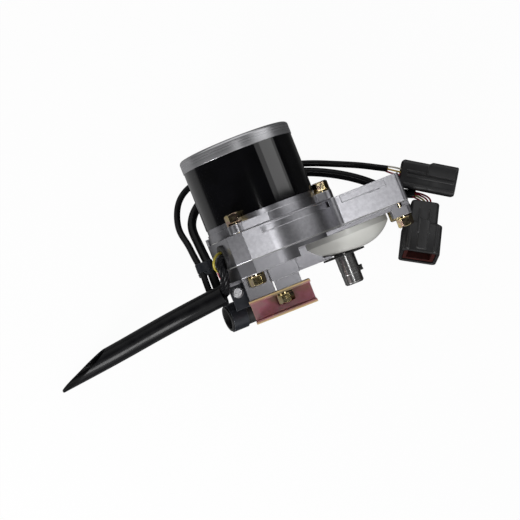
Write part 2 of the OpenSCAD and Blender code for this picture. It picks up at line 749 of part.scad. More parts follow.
module output_shaft() {
    color([0.72, 0.72, 0.74]) difference() {
        translate([0, -shaft_len, 0]) rotate([-90, 0, 0]) rotate_extrude() polygon([[0, 0],
            [tip_r - tip_edge, 0], [tip_r, tip_edge], [tip_r, tip_len], [shaft_r, tip_len],
            [shaft_r, shaft_len + housing_y + 1.6], [seat_r, shaft_len + housing_y + 2.1],
            [seat_r, shaft_len + neck_y], [neck_r, shaft_len + neck_y],
            [neck_r, shaft_len + case_y - neck_in], [0, shaft_len + case_y - neck_in]]);
        translate([0, cross_pin_y, 0]) rotate([0, 90, 0]) cylinder(h = 2 * shaft_d, r = cross_pin_d / 2,
            center = true);
        box(-key_w / 2, key_w / 2, stage_two_y, stage_two_y + stage_two_t + 1, seat_r - 2, seat_r + 1);
        y_ring(0, 0, split_y + 0.2, split_y + 1.2, seat_r - 0.8, seat_r + 1);
    }
}

module shaft_clip() {
    color([0.2, 0.2, 0.21]) difference() {
        y_ring(0, 0, split_y + 0.2, split_y + 1.2, seat_r - 0.8, seat_r + 1.4);
        box(-2, 2, split_y, split_y + 2, -seat_r - 2, -seat_r + 2);
    }
}

module neck_bush() {
    color([0.72, 0.52, 0.28]) y_ring(0, 0, neck_y + 0.3, case_y - 2, neck_r + bearing_gap, neck_bush_r);
}

module ball_bearing() {
    color([0.72, 0.73, 0.75]) difference() {
        y_ring(0, 0, split_y - ball_w - 1, split_y - 1, seat_r + bearing_gap, ball_r);
        y_ring(0, 0, split_y - 1.6, split_y, seat_r + 1.6, ball_r - 1.6);
    }
}

module shaft_seal() {
    color([0.08, 0.08, 0.08]) difference() {
        y_round(0, 0, housing_y + 2.2, housing_y + 2.2 + seal_w, seal_r);
        y_round(0, 0, housing_y + 1, housing_y + 9, seat_r + bearing_gap);
        y_ring(0, 0, housing_y + 5, housing_y + 9, seat_r + 1.6, seal_r - 1.6);
    }
}

module dust_slinger() {
    color([0.05, 0.05, 0.05]) y_ring(0, 0, 0, slinger_t, shaft_r, slinger_r);
}

module dust_cover() {
    color([0.78, 0.78, 0.74]) difference() {
        translate([bowl_x, housing_y, 0]) rotate([-90, 0, 0]) rotate_extrude($fn = 96) difference() {
            bowl_shape(0);
            bowl_shape(bowl_t);
        }
        y_round(0, 0, housing_y - 1, plate_y, shaft_r + 0.6);
        y_round(0, 0, housing_y + 2.2, plate_y + 1, housing_r);
        box(motor_x, -8 + 0.01, housing_y - 1, plate_y + 1, floor_z - 5, 2);
    }
}

// Half section of the bowl: a flat foot, a wide round side and a short upright rim
module bowl_shape(inset) {
    top = plate_y - housing_y;
    intersection() {
        union() {
            square([bowl_foot, top + 1]);
            translate([bowl_foot, bowl_sag]) circle(r = bowl_sag - inset, $fn = 96);
        }
        translate([0, inset]) square([bowl_r - inset, top - inset + (inset > 0 ? 1 : 0)]);
    }
}

module cross_pin() {
    color([0.3, 0.3, 0.31]) difference() {
        translate([cross_pin_x, cross_pin_y, 0]) rotate([0, 90, 0]) cylinder(h = cross_pin_len,
            r = cross_pin_d / 2);
        translate([-shaft_d, cross_pin_y, 0]) rotate([0, 90, 0]) cylinder(h = 2 * shaft_d,
            r = cross_pin_d / 2 - 0.8);
        box(-shaft_d, shaft_d, cross_pin_y - 0.5, cross_pin_y + 0.5, 0, cross_pin_d);
    }
}

module sensor_body() {
    color([0.1, 0.1, 0.11]) difference() {
        union() {
            y_round(sensor_x, sensor_z, sensor_body_y, roof_y, sensor_body_r);
            box(sensor_x - 3, sensor_x + 3, roof_y - 2, roof_y, sensor_z - sensor_body_r - 4,
                sensor_z + sensor_body_r + 4);
        }
        y_round(sensor_x, sensor_z, sensor_body_y + 2, roof_y - 1.6, sensor_body_r - 1.6);
        y_round(sensor_x, sensor_z, sensor_body_y - cut, sensor_body_y + 3, sensor_shaft_r + bearing_gap);
        for (s = [-1, 1]) y_round(sensor_x, sensor_z + s * (sensor_body_r + 2), roof_y - 3, roof_y + cut, 1);
    }
}

module sensor_screw_holes() {
    for (s = [-1, 1]) y_round(sensor_x, sensor_z + s * (sensor_body_r + 2), roof_y - cut, roof_y + 2.8, 1);
}

module sensor_screws() {
    color([0.7, 0.7, 0.72]) for (s = [-1, 1]) {
        y_round(sensor_x, sensor_z + s * (sensor_body_r + 2), roof_y - 3.4, roof_y - 2, 1.8);
        y_round(sensor_x, sensor_z + s * (sensor_body_r + 2), roof_y - 2.1, roof_y + 2.4, 1);
    }
}

module sensor_track() {
    color([0.35, 0.2, 0.1]) y_ring(sensor_x, sensor_z, roof_y - 2.4, roof_y - 1.6, 5, sensor_body_r - 1.8);
}

module sensor_shaft() {
    color([0.7, 0.68, 0.6]) y_round(sensor_x, sensor_z, stage_two_y, roof_y - 3.4, sensor_shaft_r);
}

module sensor_wiper() {
    color([0.8, 0.7, 0.4]) difference() {
        union() {
            y_round(sensor_x, sensor_z, roof_y - 3.6, roof_y - 2.8, sensor_shaft_r + 1.2);
            box(sensor_x, sensor_x + sensor_body_r - 3, roof_y - 3.6, roof_y - 2.8, sensor_z - 1,
                sensor_z + 1);
        }
        y_round(sensor_x, sensor_z, roof_y - 4, roof_y - 3.4, sensor_shaft_r);
    }
}

module sensor_wheel() {
    color([0.85, 0.84, 0.78]) difference() {
        wheel(sensor_x, sensor_z, sensor_gear_y, stage_two_t - 0.6, gear_module, sensor_teeth, sensor_turn);
        y_round(sensor_x, sensor_z, sensor_gear_y - cut, sensor_gear_y + stage_two_t, sensor_shaft_r);
    }
}

module channel_bracket() {
    color([0.75, 0.55, 0.42]) difference() {
        box(bracket_x, bracket_x + bracket_len, bracket_y - bracket_h, bracket_y, bracket_z,
            bracket_z + bracket_depth);
        box(bracket_x - 1, bracket_x + bracket_len + 1, bracket_y - bracket_h + sheet_t, bracket_y - sheet_t,
            bracket_z + sheet_t, bracket_z + bracket_depth + 1);
        y_round(bracket_bolt_x, bracket_bolt_z, bracket_y - sheet_t - cut, bracket_y + cut,
            bolt_d / 2 + bolt_gap);
    }
}

module bracket_bolt() {
    color([0.72, 0.58, 0.28]) hex_bolt(bracket_bolt_x, bracket_bolt_z, bracket_y - sheet_t - washer_t,
        -1, bracket_bolt_len);
}

module clip_frame() {
    translate(clip_loop) rotate([0, clip_tilt, 0]) rotate([0, 90, 0]) children();
}

module clip_strap() {
    color([0.25, 0.27, 0.31]) difference() {
        union() {
            clip_frame() difference() {
                cylinder(h = clip_w, r = clip_r, center = true);
                cylinder(h = clip_w + 1, r = clip_r - clip_t, center = true);
            }
            box(clip_x - clip_tab_w / 2, clip_x + clip_tab_w / 2, clip_y - clip_tab_low, clip_y + clip_tab_up,
                clip_z, clip_z + clip_t);
        }
        translate([clip_x, clip_y, clip_z - cut]) cylinder(h = clip_t + 2 * cut, r = clip_screw_r + 0.2);
    }
}

module clip_cushion() {
    color([0.02, 0.02, 0.02]) clip_frame() translate([0, 0, -clip_w / 2 - 1.2]) difference() {
        cylinder(h = cushion_len, r = clip_r - clip_t);
        translate([0, 0, -1]) cylinder(h = cushion_len + 2, r = clip_r - clip_t - cushion_t);
    }
}

module clip_screw() {
    color([0.85, 0.85, 0.86]) difference() {
        union() {
            translate([clip_x, clip_y, clip_z + clip_t]) cylinder(h = 2.2, r1 = 4, r2 = 2.8);
            translate([clip_x, clip_y, clip_z - clip_screw_len])
                cylinder(h = clip_screw_len + clip_t + cut, r = clip_screw_r);
        }
        box(clip_x - 2, clip_x + 2, clip_y - 0.45, clip_y + 0.45, clip_z + clip_t + 1, clip_z + 5);
        box(clip_x - 0.45, clip_x + 0.45, clip_y - 2, clip_y + 2, clip_z + clip_t + 1, clip_z + 5);
    }
}

module bundle_band() {
    color([0.3, 0.32, 0.36]) box(left_x - 13.4, left_x - 0.4, 22, 32, -6.6, 4);
}

module motor_cable() {
    color([0.03, 0.03, 0.03]) tube(motor_route, motor_cable_d);
}

module sensor_cable() {
    color([0.03, 0.03, 0.03]) tube(sensor_route, sensor_cable_d);
}

module harness_sleeve() {
    color([0.02, 0.02, 0.02]) tube(sleeve_route, sleeve_d, 12, sleeve_cut);
}

module lead_bundle() {
    color([0.02, 0.02, 0.02]) tube(bundle_route, bundle_d);
}

module yellow_lead() {
    color([0.75, 0.7, 0.15]) tube(yellow_route, wire_d, 8);
}

module red_lead() {
    color([0.55, 0.08, 0.08]) tube(red_route, wire_d, 8);
}

// Bare wires between a cable's jacket and its connector, side by side
module bare_wires(from, to, spread, bow, n) {
    for (i = [0:n - 1]) let(
            k = i - (n - 1) / 2,
            across = unit(cross(to - from, [0, 0, 1])))
        tube([from + core_pitch * k * across, from + 0.3 * (to - from) + spread * k * across + 0.6 * bow,
            from + 0.65 * (to - from) + spread * k * across + bow, to + spread * k * across], core_d, 8);
}

module sensor_leads() {
    color([0.8, 0.65, 0.2]) bare_wires(sensor_lead_from, sensor_lead_to, 2.2, [0, 0, 1], 3);
}

module motor_leads() {
    color([0.6, 0.06, 0.12]) bare_wires(motor_lead_from, motor_lead_to, 2, [6, 2, 2], 4);
}

module plug_frame(at, turn, pitch = 0) {
    translate([at[0], at[1], plug_floor]) rotate([0, 0, turn]) rotate([0, -pitch, 0]) children();
}

module sensor_plug() {
    l = sensor_plug_len;
    w = sensor_plug_w / 2;
    h = sensor_plug_h;
    color([0.1, 0.1, 0.105]) plug_frame(sensor_plug_at, sensor_plug_turn) difference() {
        union() {
            box(0, l * 0.5, -w, w - 1.4, 0, h);
            box(l * 0.5 - cut, l, -w, w, 0, h);
            box(6, l - 12, -3, 3, h - cut, h + 2);
        }
        box(l - 18, l + 1, -w + plug_wall, w - plug_wall, plug_wall, h - plug_wall);
        box(-1, 7, -w + 3, w - 4, 4, h - 4);
    }
}

module motor_plug() {
    l = motor_plug_len;
    w = motor_plug_w / 2;
    m = motor_plug_mouth / 2;
    h = motor_plug_h;
    color([0.1, 0.1, 0.105]) plug_frame(motor_plug_at, motor_plug_turn, motor_plug_pitch) difference() {
        union() {
            box(0, l * 0.42, -w, w, 1, h - 1);
            box(l * 0.42 - cut, l, -m, m, 0, h);
            box(8, l - 16, -3.4, 3.4, h - 1 - cut, h + 1.6);
        }
        box(l - 19, l + 1, -m + plug_wall, m - plug_wall, plug_wall, h - plug_wall);
        box(-1, 7, -w + 3, w - 3, 5, h - 5);
    }
}

// Terminal block, seal and pins inside a connector's mouth
module plug_core(l, w, h) {
    box(l - 18, l - 8, -w + plug_wall + 3, w - plug_wall - 3, plug_wall + 3, h - plug_wall - 3);
}

module sensor_plug_core() {
    color([0.06, 0.06, 0.065]) plug_frame(sensor_plug_at, sensor_plug_turn)
        plug_core(sensor_plug_len, sensor_plug_w / 2, sensor_plug_h);
}

module motor_plug_core() {
    color([0.06, 0.06, 0.065]) plug_frame(motor_plug_at, motor_plug_turn, motor_plug_pitch)
        plug_core(motor_plug_len, motor_plug_mouth / 2, motor_plug_h);
}

module plug_seal(l, w, h, front) {
    difference() {
        box(l - front - 4.9, l - front, -w + plug_wall + 0.6, w - plug_wall - 0.6, plug_wall + 0.6,
            h - plug_wall - 0.6);
        box(l - front - 6, l - front + 1, -w + plug_wall + 3, w - plug_wall - 3, plug_wall + 3,
            h - plug_wall - 3);
    }
}

module sensor_plug_seal() {
    color([0.55, 0.14, 0.06]) plug_frame(sensor_plug_at, sensor_plug_turn)
        plug_seal(sensor_plug_len, sensor_plug_w / 2, sensor_plug_h, sensor_seal_in);
}

module motor_plug_seal() {
    color([0.55, 0.14, 0.06]) plug_frame(motor_plug_at, motor_plug_turn, motor_plug_pitch)
        plug_seal(motor_plug_len, motor_plug_mouth / 2, motor_plug_h, motor_seal_in);
}

// Puts the shaft's shoulder at the origin
module seated() {
    translate([0, shoulder, 0]) children();
}

seated() motor_cap();
seated() motor_tube();
seated() motor_flange();
seated() flange_gasket();
seated() stator_stack();
seated() stator_coils();
seated() rotor();
seated() motor_shaft();
seated() rear_bearing();
seated() front_bearing();
seated() preload_washer();
seated() pinion();
seated() motor_bolts();
seated() gear_case();
seated() cable_grommet();
seated() case_gasket();
seated() lower_cover();
seated() cover_bolts();
seated() bolt_washers();
seated() idler_axle();
seated() idler_wheel();
seated() idler_bush();
seated() idler_washers();
seated() output_wheel();
seated() drive_key();
seated() output_shaft();
seated() shaft_clip();
seated() neck_bush();
seated() ball_bearing();
seated() shaft_seal();
seated() dust_slinger();
seated() dust_cover();
seated() cross_pin();
seated() sensor_body();
seated() sensor_screws();
seated() sensor_track();
seated() sensor_shaft();
seated() sensor_wiper();
seated() sensor_wheel();
seated() channel_bracket();
seated() bracket_bolt();
seated() clip_strap();
seated() clip_cushion();
seated() clip_screw();
seated() bundle_band();
seated() motor_cable();
seated() sensor_cable();
seated() harness_sleeve();
seated() lead_bundle();
seated() yellow_lead();
seated() red_lead();
seated() sensor_leads();
seated() motor_leads();
seated() sensor_plug();
seated() sensor_plug_core();
seated() sensor_plug_seal();
seated() motor_plug();
seated() motor_plug_core();
seated() motor_plug_seal();
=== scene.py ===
import json
import logging
import math
from dataclasses import dataclass, field
from enum import Enum
from typing import Optional, Sequence, Union

import bpy
import numpy as np
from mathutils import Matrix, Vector


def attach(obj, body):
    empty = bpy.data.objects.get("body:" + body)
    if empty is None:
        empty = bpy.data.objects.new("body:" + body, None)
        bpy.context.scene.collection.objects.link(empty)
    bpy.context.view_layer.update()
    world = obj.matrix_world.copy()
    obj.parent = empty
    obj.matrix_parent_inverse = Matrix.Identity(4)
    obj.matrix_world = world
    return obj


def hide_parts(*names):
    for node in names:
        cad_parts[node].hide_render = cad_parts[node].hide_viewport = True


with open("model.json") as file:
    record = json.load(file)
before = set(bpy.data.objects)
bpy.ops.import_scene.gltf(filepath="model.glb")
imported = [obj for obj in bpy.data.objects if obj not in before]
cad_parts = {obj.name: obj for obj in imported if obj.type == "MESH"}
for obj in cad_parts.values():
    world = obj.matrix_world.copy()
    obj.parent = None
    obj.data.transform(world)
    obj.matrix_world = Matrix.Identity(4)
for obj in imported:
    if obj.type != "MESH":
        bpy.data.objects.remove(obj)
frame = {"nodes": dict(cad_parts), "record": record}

LOG = logging.getLogger("governor_actuator")
MM = 0.001
FLOOR_Z = -30.5
HOUSING = "housing"
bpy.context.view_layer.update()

EDGE_SAMPLES = 6
EDGE_TURN = (0.02, 0.22)
NOISE_MID = (0.3, 0.7)
NOISE_WIDE = (0.25, 0.75)
COAT_ROUGHNESS = 0.06
LEAST_SPANS = 8

Colour = tuple[float, float, float]
Point = tuple[float, float, float]
Span = tuple[float, float]
Value = Union[float, "Sock"]


class Axis(Enum):
    """Direction in the part's frame, as an index of a coordinate."""

    X = 0
    Y = 1
    Z = 2


class Sock:
    """An output socket of a sheet, with arithmetic that adds Math nodes."""

    def __init__(self, sheet: "Sheet", socket: bpy.types.NodeSocket) -> None:
        """Wraps one socket of a sheet."""
        self.sheet = sheet
        self.socket = socket

    def _calc(self, operation: str, first: Value, second: Value = 0.0) -> "Sock":
        """Adds a Math node that works on two values."""
        return self.sheet.node("ShaderNodeMath", {"operation": operation}, {0: first, 1: second})

    def __add__(self, other: Value) -> "Sock":
        """Sum with a value."""
        return self._calc("ADD", self, other)

    __radd__ = __add__

    def __sub__(self, other: Value) -> "Sock":
        """Difference from a value."""
        return self._calc("SUBTRACT", self, other)

    def __rsub__(self, other: Value) -> "Sock":
        """A value less this one."""
        return self._calc("SUBTRACT", other, self)

    def __mul__(self, other: Value) -> "Sock":
        """Product with a value."""
        return self._calc("MULTIPLY", self, other)

    __rmul__ = __mul__

    def __pow__(self, other: Value) -> "Sock":
        """Power of this value."""
        return self._calc("POWER", self, other)

    def sine(self) -> "Sock":
        """Sine of this value, in radians."""
        return self._calc("SINE", self)

    def root(self) -> "Sock":
        """Square root of this value."""
        return self._calc("SQRT", self)

    def size(self) -> "Sock":
        """This value without its sign."""
        return self._calc("ABSOLUTE", self)

    def most(self, other: Value) -> "Sock":
        """The larger of two values."""
        return self._calc("MAXIMUM", self, other)

    def ramp(self, low: float, high: float, start: float = 0.0, end: float = 1.0) -> "Sock":
        """Smooth step of this value.

        Args:
            low: value at which the step starts.
            high: value at which the step ends.
            start: result at and below low.
            end: result at and above high.

        Returns:
            The stepped value.
        """
        return self.sheet.node(
            "ShaderNodeMapRange",
            {"interpolation_type": "SMOOTHSTEP", "clamp": True},
            {"Value": self, "From Min": low, "From Max": high, "To Min": start, "To Max": end},
        )


class Sheet:
    """One material's nodes, with the patterns that the finishes share."""

    def __init__(self, name: str) -> None:
        """Starts a material with a Principled shader.

        Args:
            name: name of the material.
        """
        self.material = bpy.data.materials.new(name)
        self.material.use_nodes = True
        self.tree = self.material.node_tree
        self.tree.nodes.clear()
        self.shader = self.tree.nodes.new("ShaderNodeBsdfPrincipled")
        self.output = self.tree.nodes.new("ShaderNodeOutputMaterial")
        self.tree.links.new(self.shader.outputs[0], self.output.inputs[0])
        self.place = self.node("ShaderNodeTexCoord", out="Object")

    def put(self, socket: bpy.types.NodeSocket, value: object) -> None:
        """Links or sets one input.

        Args:
            socket: the input.
            value: a Sock to link, or a number, colour or vector to set.
        """
        if isinstance(value, Sock):
            self.tree.links.new(value.socket, socket)
        elif socket.type == "RGBA" and len(value) == 3:
            socket.default_value = (*value, 1.0)
        else:
            socket.default_value = value

    def node(
        self,
        kind: str,
        settings: Optional[dict] = None,
        inputs: Optional[dict] = None,
        out: Union[int, str] = 0,
    ) -> Sock:
        """Adds any node.

        Args:
            kind: the node's type.
            settings: its properties, and the stops of a ramp.
            inputs: values or links of its sockets, by name or number.
            out: the output to use.

        Returns:
            That output.
        """
        made = self.tree.nodes.new(kind)
        for key, value in (settings or {}).items():
            if key == "stops":
                self.set_stops(made.color_ramp, value)
            else:
                setattr(made, key, value)
        for key, value in (inputs or {}).items():
            self.put(made.inputs[key], value)
        return Sock(self, made.outputs[out])

    @staticmethod
    def set_stops(ramp: bpy.types.ColorRamp, stops: Sequence[tuple[float, Colour]]) -> None:
        """Sets a colour ramp's stops.

        Args:
            ramp: the ramp.
            stops: places from 0 to 1 with their colours.
        """
        while len(ramp.elements) < len(stops):
            ramp.elements.new(1.0)
        for element, (place, colour) in zip(ramp.elements, stops):
            element.position = place
            element.color = (*colour, 1.0)

    def feed(self, **values: object) -> None:
        """Sets the shader's sockets; an underscore in a name stands for a space."""
        for key, value in values.items():
            self.put(self.shader.inputs[key.replace("_", " ")], value)

    def along(self, axis: Axis) -> Sock:
        """Object coordinate along an axis, in metres."""
        return self.node("ShaderNodeSeparateXYZ", None, {0: self.place}, axis.value)

    def noise(self, size: float, detail: float = 3.0) -> Sock:
        """Noise whose lumps have a given size.

        Args:
            size: size of a lump in millimetres.
            detail: octaves of finer noise.

        Returns:
            A value around 0.5.
        """
        inputs = {"Vector": self.place, "Scale": 1.0 / (size * MM), "Detail": detail}
        return self.node("ShaderNodeTexNoise", None, inputs)

    def streak(self, run: Sock, size: float) -> Sock:
        """Noise that changes along one coordinate only.

        Args:
            run: the coordinate, in metres.
            size: width of a streak in millimetres.

        Returns:
            A value around 0.5.
        """
        return self.node(
            "ShaderNodeTexNoise",
            {"noise_dimensions": "1D"},
            {"W": run, "Scale": 1.0 / (size * MM), "Detail": 2.0},
        )

    def mix(self, factor: Value, first: object, second: object) -> Sock:
        """Mixes two colours.

        Args:
            factor: 0 for the first, 1 for the second.
            first: a colour or a Sock.
            second: a colour or a Sock.

        Returns:
            The mixed colour.
        """
        return self.node("ShaderNodeMix", {"data_type": "RGBA"}, {0: factor, 6: first, 7: second}, out=2)

    def from_line(self, axis: Axis, centre: Sequence[float]) -> Sock:
        """Distance from a line parallel to an axis.

        Args:
            axis: direction of the line.
            centre: the line's other two coordinates in millimetres, in order.

        Returns:
            The distance in metres.
        """
        others = [a for a in Axis if a is not axis]
        parts = [(self.along(a) - c * MM) ** 2.0 for a, c in zip(others, centre)]
        return (parts[0] + parts[1]).root()

    def rounded(self, radius: float) -> tuple[Sock, Sock]:
        """Normals softened at the edges, and a mask of the edges.

        Args:
            radius: radius of the softened edge in millimetres.

        Returns:
            The normal, and a mask that is 1 on a sharp outer or inner edge.
        """
        soft = self.node("ShaderNodeBevel", {"samples": EDGE_SAMPLES}, {"Radius": radius * MM})
        plain = self.node("ShaderNodeNewGeometry", out="True Normal")
        same = self.node(
            "ShaderNodeVectorMath", {"operation": "DOT_PRODUCT"}, {0: soft, 1: plain}, out="Value"
        )
        return soft, (1.0 - same).ramp(*EDGE_TURN)


@dataclass(frozen=True)
class Finish:
    """A surface: mottled colour, grain in relief, softened and worn edges, and a coat."""

    slot: str
    base: Colour
    shade: Colour
    metallic: float = 0.0
    rough: Span = (0.4, 0.5)
    mottle: float = 6.0
    grain: float = 0.5
    depth: float = 0.01
    edge: float = 0.0
    worn: Optional[Colour] = None
    coat: float = 0.0
    specular: float = 0.5

    def colour(self, sheet: Sheet) -> Sock:
        """Base colour, mottled towards the shade colour."""
        return sheet.mix(sheet.noise(self.mottle).ramp(*NOISE_MID), self.base, self.shade)

    def relief(self, sheet: Sheet) -> Sock:
        """Height of the grain, from 0 to 1."""
        return sheet.noise(self.grain, 2.0)

    def gloss(self, sheet: Sheet) -> Sock:
        """Roughness between the two limits."""
        return sheet.noise(self.mottle * 0.6).ramp(*NOISE_WIDE, *self.rough)

    def material(self) -> bpy.types.Material:
        """Builds the finish's material.

        Returns:
            The material, named for its slot.
        """
        sheet = Sheet(self.slot)
        tint = self.colour(sheet)
        bump = {"Strength": 1.0, "Distance": self.depth * MM, "Height": self.relief(sheet)}
        if self.edge:
            bump["Normal"], rim = sheet.rounded(self.edge)
            if self.worn:
                wear = rim * sheet.noise(self.mottle * 0.4).ramp(0.2, 0.6)
                tint = sheet.mix(wear, tint, self.worn)
        sheet.feed(
            Base_Color=tint,
            Metallic=self.metallic,
            Roughness=self.gloss(sheet),
            Normal=sheet.node("ShaderNodeBump", None, bump),
            Coat_Weight=self.coat,
            Coat_Roughness=COAT_ROUGHNESS,
            Specular_IOR_Level=self.specular,
        )
        return sheet.material


@dataclass(frozen=True)
class Cast(Finish):
    """Sand-cast alloy: a coarse skin with small pits and a drifting tone; the lower cover is darker, partly
    its own tone and partly painted shade.
    """

    pit: Colour = (0.3, 0.31, 0.33)
    pit_size: float = 0.8
    pit_limits: Span = (0.64, 0.74)
    pit_share: float = 0.3
    # Darker colour of the lower cover, partly its own tone and partly painted shade, and a still darker
    # painted shade towards low Y.
    dull_and_shade: Colour = (0.24, 0.238, 0.255)
    dull_and_shade_y: Span = (33.8, 34.2)
    dull_and_shade_share: float = 0.8
    foot_shade: Colour = (0.17, 0.168, 0.18)
    foot_shade_y: Span = (14.0, 30.0)

    def colour(self, sheet: Sheet) -> Sock:
        """Drifting tone with sparse dark pits; the cover is darker, partly its own tone and partly painted
        shade, and darkest where Y is lowest, which is painted shade.

        Args:
            sheet: the material's nodes.

        Returns:
            The colour.
        """
        tone = sheet.mix(sheet.noise(self.mottle, 5.0).ramp(*NOISE_MID), self.base, self.shade)
        # Painted shade: below the split line the cover is darkened, partly as its own tone and partly as
        # shade, and the darkening grows towards low Y as painted shade.
        cover = sheet.along(Axis.Y).ramp(*(y * MM for y in self.dull_and_shade_y), self.dull_and_shade_share, 0.0)
        foot_shade = sheet.along(Axis.Y).ramp(*(y * MM for y in self.foot_shade_y), 1.0, 0.0)
        tone = sheet.mix(cover, tone, sheet.mix(foot_shade, self.dull_and_shade, self.foot_shade))
        pits = sheet.noise(self.pit_size, 1.0).ramp(*self.pit_limits) * self.pit_share
        return sheet.mix(pits, tone, self.pit)

    def relief(self, sheet: Sheet) -> Sock:
        """Sand grains on a slightly wavy skin."""
        return sheet.noise(self.grain, 2.0) + sheet.noise(self.grain * 6.0, 1.0) * 1.5


@dataclass(frozen=True)
class Turned(Finish):
    """Metal turned on a lathe: fine rings round an axis."""

    axis: Axis = Axis.Y
    centre: Span = (0.0, 0.0)
    pitch: float = 0.35

    def _rings(self, sheet: Sheet) -> Sock:
        """Coordinate that grows along the axis and away from it."""
        return sheet.along(self.axis) + sheet.from_line(self.axis, self.centre)

    def relief(self, sheet: Sheet) -> Sock:
        """Tool marks."""
        return sheet.streak(self._rings(sheet), self.pitch)

    def gloss(self, sheet: Sheet) -> Sock:
        """Roughness that changes from ring to ring."""
        return sheet.streak(self._rings(sheet), self.pitch * 3.0).ramp(*NOISE_MID, *self.rough)


@dataclass(frozen=True)
class Layered(Finish):
    """Thin layers stacked along an axis, such as laminations or wound wire."""

    axis: Axis = Axis.Y
    pitch: float = 0.5

    def _wave(self, sheet: Sheet) -> Sock:
        """Wave of one layer a turn, from 0 to 1."""
        return (sheet.along(self.axis) * (2.0 * math.pi / (self.pitch * MM))).sine() * 0.5 + 0.5

    def colour(self, sheet: Sheet) -> Sock:
        """Base colour with dark joints between the layers."""
        return sheet.mix(self._wave(sheet).ramp(0.0, 0.4), self.shade, self.base)

    def relief(self, sheet: Sheet) -> Sock:
        """Rounded layers."""
        return self._wave(sheet)


@dataclass(frozen=True)
class Zinc(Finish):
    """Passivated zinc: a thin film whose tints run from straw through pink to green."""

    tints: tuple[tuple[float, Colour], ...] = ()
    film: float = 9.0

    def _film(self, sheet: Sheet) -> Sock:
        """Thickness of the film, from 0 to 1."""
        return sheet.noise(self.film, 3.0).ramp(0.28, 0.72) * 0.7 + sheet.noise(1.2, 2.0) * 0.3

    def colour(self, sheet: Sheet) -> Sock:
        """Tint of the film."""
        return sheet.node("ShaderNodeValToRGB", {"stops": self.tints}, {0: self._film(sheet)})


@dataclass(frozen=True)
class ChannelZinc(Zinc):
    """Pink film on the channel bracket, olive round its bolt and gold along its lips."""

    bolt_x: float = -48.9
    olive_reach: Span = (3.0, 14.0)
    olive_wander: float = 14.0
    olive_lump: float = 4.0
    olive_y: Span = (-3.0, 5.0)
    olive_share: Span = (0.2, 0.85)
    olive: Colour = (0.16, 0.15, 0.09)
    web_y: Span = (-7.0, 9.0)
    lip_inset: Span = (1.8, 0.4)
    lip_z: Span = (48.0, 50.0)
    lip_share: float = 0.85
    gold: Colour = (0.82, 0.62, 0.3)

    def colour(self, sheet: Sheet) -> Sock:
        """Film tint, darkened near the bolt and gilded along the lips.

        Args:
            sheet: the material's nodes.

        Returns:
            The colour.
        """
        tint = super().colour(sheet)
        # Olive patch: darker near the bolt and stronger towards the back flange.
        wander = (sheet.noise(self.olive_lump) - 0.5) * (self.olive_wander * MM)
        near = (sheet.along(Axis.X) - self.bolt_x * MM).size() + wander
        back = sheet.along(Axis.Y).ramp(*(y * MM for y in self.olive_y), *self.olive_share)
        tint = sheet.mix(near.ramp(*(x * MM for x in self.olive_reach), 1.0, 0.0) * back, tint, self.olive)
        low, high = (y * MM for y in self.web_y)
        mid, half = (low + high) / 2.0, (high - low) / 2.0
        lip = (sheet.along(Axis.Y) - mid).size().ramp(*(half - inset * MM for inset in self.lip_inset))
        lip = lip * sheet.along(Axis.Z).ramp(*(z * MM for z in self.lip_z))
        return sheet.mix(lip * self.lip_share, tint, self.gold)


STRAW = (0.78, 0.6, 0.27)
PALE_GOLD = (0.86, 0.74, 0.46)
ROSE = (0.66, 0.42, 0.36)
OLIVE = (0.42, 0.38, 0.19)

